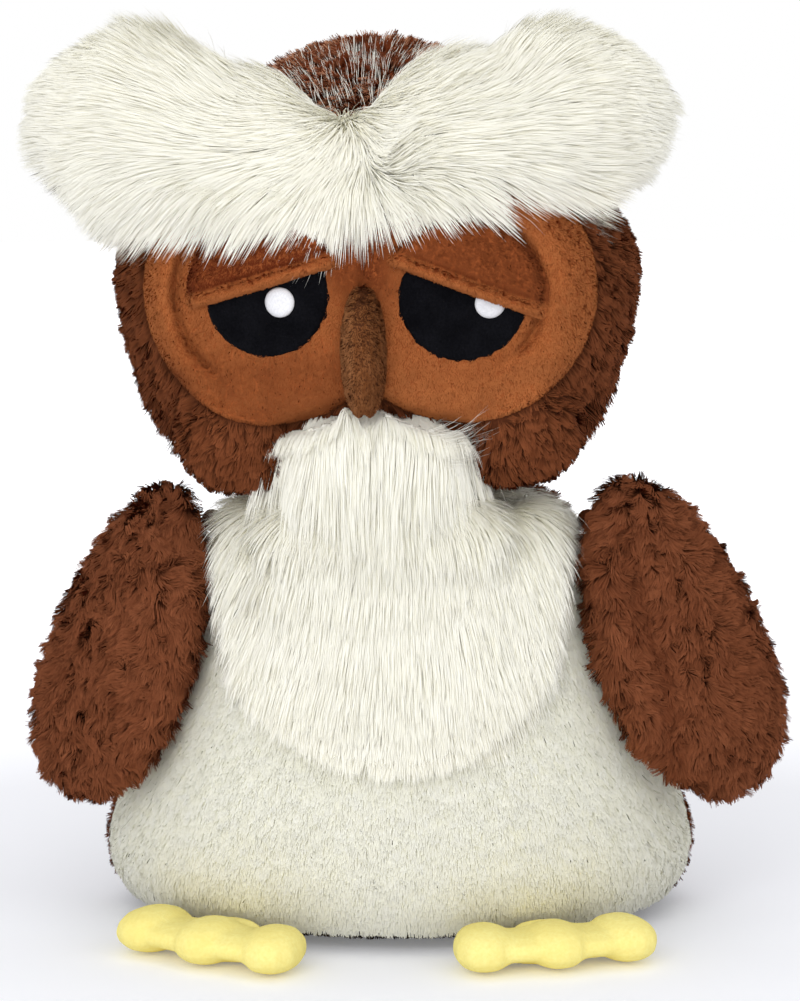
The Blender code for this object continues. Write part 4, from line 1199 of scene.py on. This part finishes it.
def make_foot(side):
    nodes = (f"foot_top_{side}", f"foot_sole_{side}", f"foot_stuffing_{side}")
    inner = points_of(NODES[nodes[2]])
    middle = inner.mean(0)
    form = skin(f"foot_{side}_cloth", nodes, "yellow_ground", 0.9 * MM, 4, 0.4 * MM,
                wrapped=middle + (inner - middle) * (1, 0.95, 0.9))
    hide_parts(*nodes[:2])
    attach(form, f"foot_{side}")


# What is inside

def dress_nodes():
    """Gives the CAD nodes that stay their own materials."""
    looks = {
        "stuffing": "stuffing", "pellet_fill": "pellets", "pellet_pouch": "lining", "neck_thread": "thread",
        "wing_tab": "brown_ground",
    }
    for name, node in NODES.items():
        for key, look in looks.items():
            if key in name:
                dress(node.data, look)


# Camera, light and floor

LAMPS = {  # place, size and power
    "key": ((-0.34, -1.20, 0.52), 0.9, 7.0),
    "fill": ((0.9, -0.8, 0.6), 0.9, 1.7),
    "top": ((0.0, 0.25, 1.3), 1.0, 2.0),
}
SKY_STRENGTH = 0.71  # of the even light on the owl; the camera sees the sky white
FLOOR_COLOUR = (0.86, 0.87, 0.92, 1)
FLOOR_RADIUS = 3.0
GLOW_REACH = (0.22, 0.75)  # between which the floor's glow grows with its distance from the owl
LEAST_GLOW = 0.16


def look_at_target(thing, place):
    target = Vector(CAMERA_TARGET)
    thing.location = place
    thing.rotation_euler = (target - Vector(place)).to_track_quat("-Z", "Y").to_euler()
    bpy.context.scene.collection.objects.link(thing)
    return (target - Vector(place)).length


def make_camera():
    scene = bpy.context.scene
    camera = bpy.data.objects.new("camera", bpy.data.cameras.new("camera"))
    distance = look_at_target(camera, CAMERA_PLACE)
    camera.data.sensor_fit = "HORIZONTAL"
    camera.data.sensor_width = SENSOR_WIDTH
    camera.data.lens = SENSOR_WIDTH * distance / FRAME_WIDTH
    camera.data.clip_start = 0.05
    scene.camera = camera
    scene.view_settings.view_transform = "Standard"
    scene.cycles.diffuse_bounces = 10  # light goes far between pale strands


def make_light():
    world = bpy.data.worlds.new("studio")
    bpy.context.scene.world = world
    world.use_nodes = True
    tree = world.node_tree

    def most(a, b):
        return add_node(tree, "ShaderNodeMath", {0: a, 1: b}, operation="MAXIMUM").outputs[0]

    path = add_node(tree, "ShaderNodeLightPath").outputs
    seen = most(path["Is Camera Ray"], most(path["Is Glossy Ray"], path["Is Transmission Ray"]))
    strength = add_node(tree, "ShaderNodeMapRange", {"Value": seen, "To Min": SKY_STRENGTH, "To Max": 1.0})
    back = tree.nodes["Background"]
    tree.links.new(strength.outputs[0], back.inputs["Strength"])
    back.inputs["Color"].default_value = (1, 1, 1, 1)
    for name, (place, size, power) in LAMPS.items():
        lamp = bpy.data.objects.new(name, bpy.data.lights.new(name, "AREA"))
        look_at_target(lamp, place)
        lamp.data.size = size
        lamp.data.energy = power


def make_floor():
    """A disc that glows for the camera alone, more with its distance, so that it ends in white."""
    made = Nodes("floor", 1.0)
    diffuse = made.make("ShaderNodeBsdfDiffuse", {"Color": FLOOR_COLOUR})
    place = made.make("ShaderNodeTexCoord").outputs["Object"]
    reach = made.make("ShaderNodeVectorMath", {0: place}, operation="LENGTH").outputs["Value"]
    low, high = GLOW_REACH
    lift = made.make("ShaderNodeMapRange", {"Value": reach, 1: low, 2: high, 3: LEAST_GLOW, 4: 1.0})
    seen = made.make("ShaderNodeLightPath").outputs["Is Camera Ray"]
    power = made.make("ShaderNodeMath", {0: lift.outputs[0], 1: seen}, operation="MULTIPLY")
    glow = made.make("ShaderNodeEmission", {"Color": (1, 1, 1, 1), "Strength": power.outputs[0]})
    total = made.make("ShaderNodeAddShader", {0: diffuse.outputs[0], 1: glow.outputs[0]})
    made.tree.links.new(total.outputs[0], made.tree.nodes["Material Output"].inputs["Surface"])
    MATERIALS["floor"] = made.material
    bm = bmesh.new()
    bmesh.ops.create_circle(bm, cap_ends=True, segments=96, radius=FLOOR_RADIUS)
    floor = object_from(bm, "floor", "floor")


make_body()
make_head()
for owl_side in SIDES:
    make_wing(owl_side)
    make_foot(owl_side)
dress_nodes()
make_camera()
make_light()
make_floor()
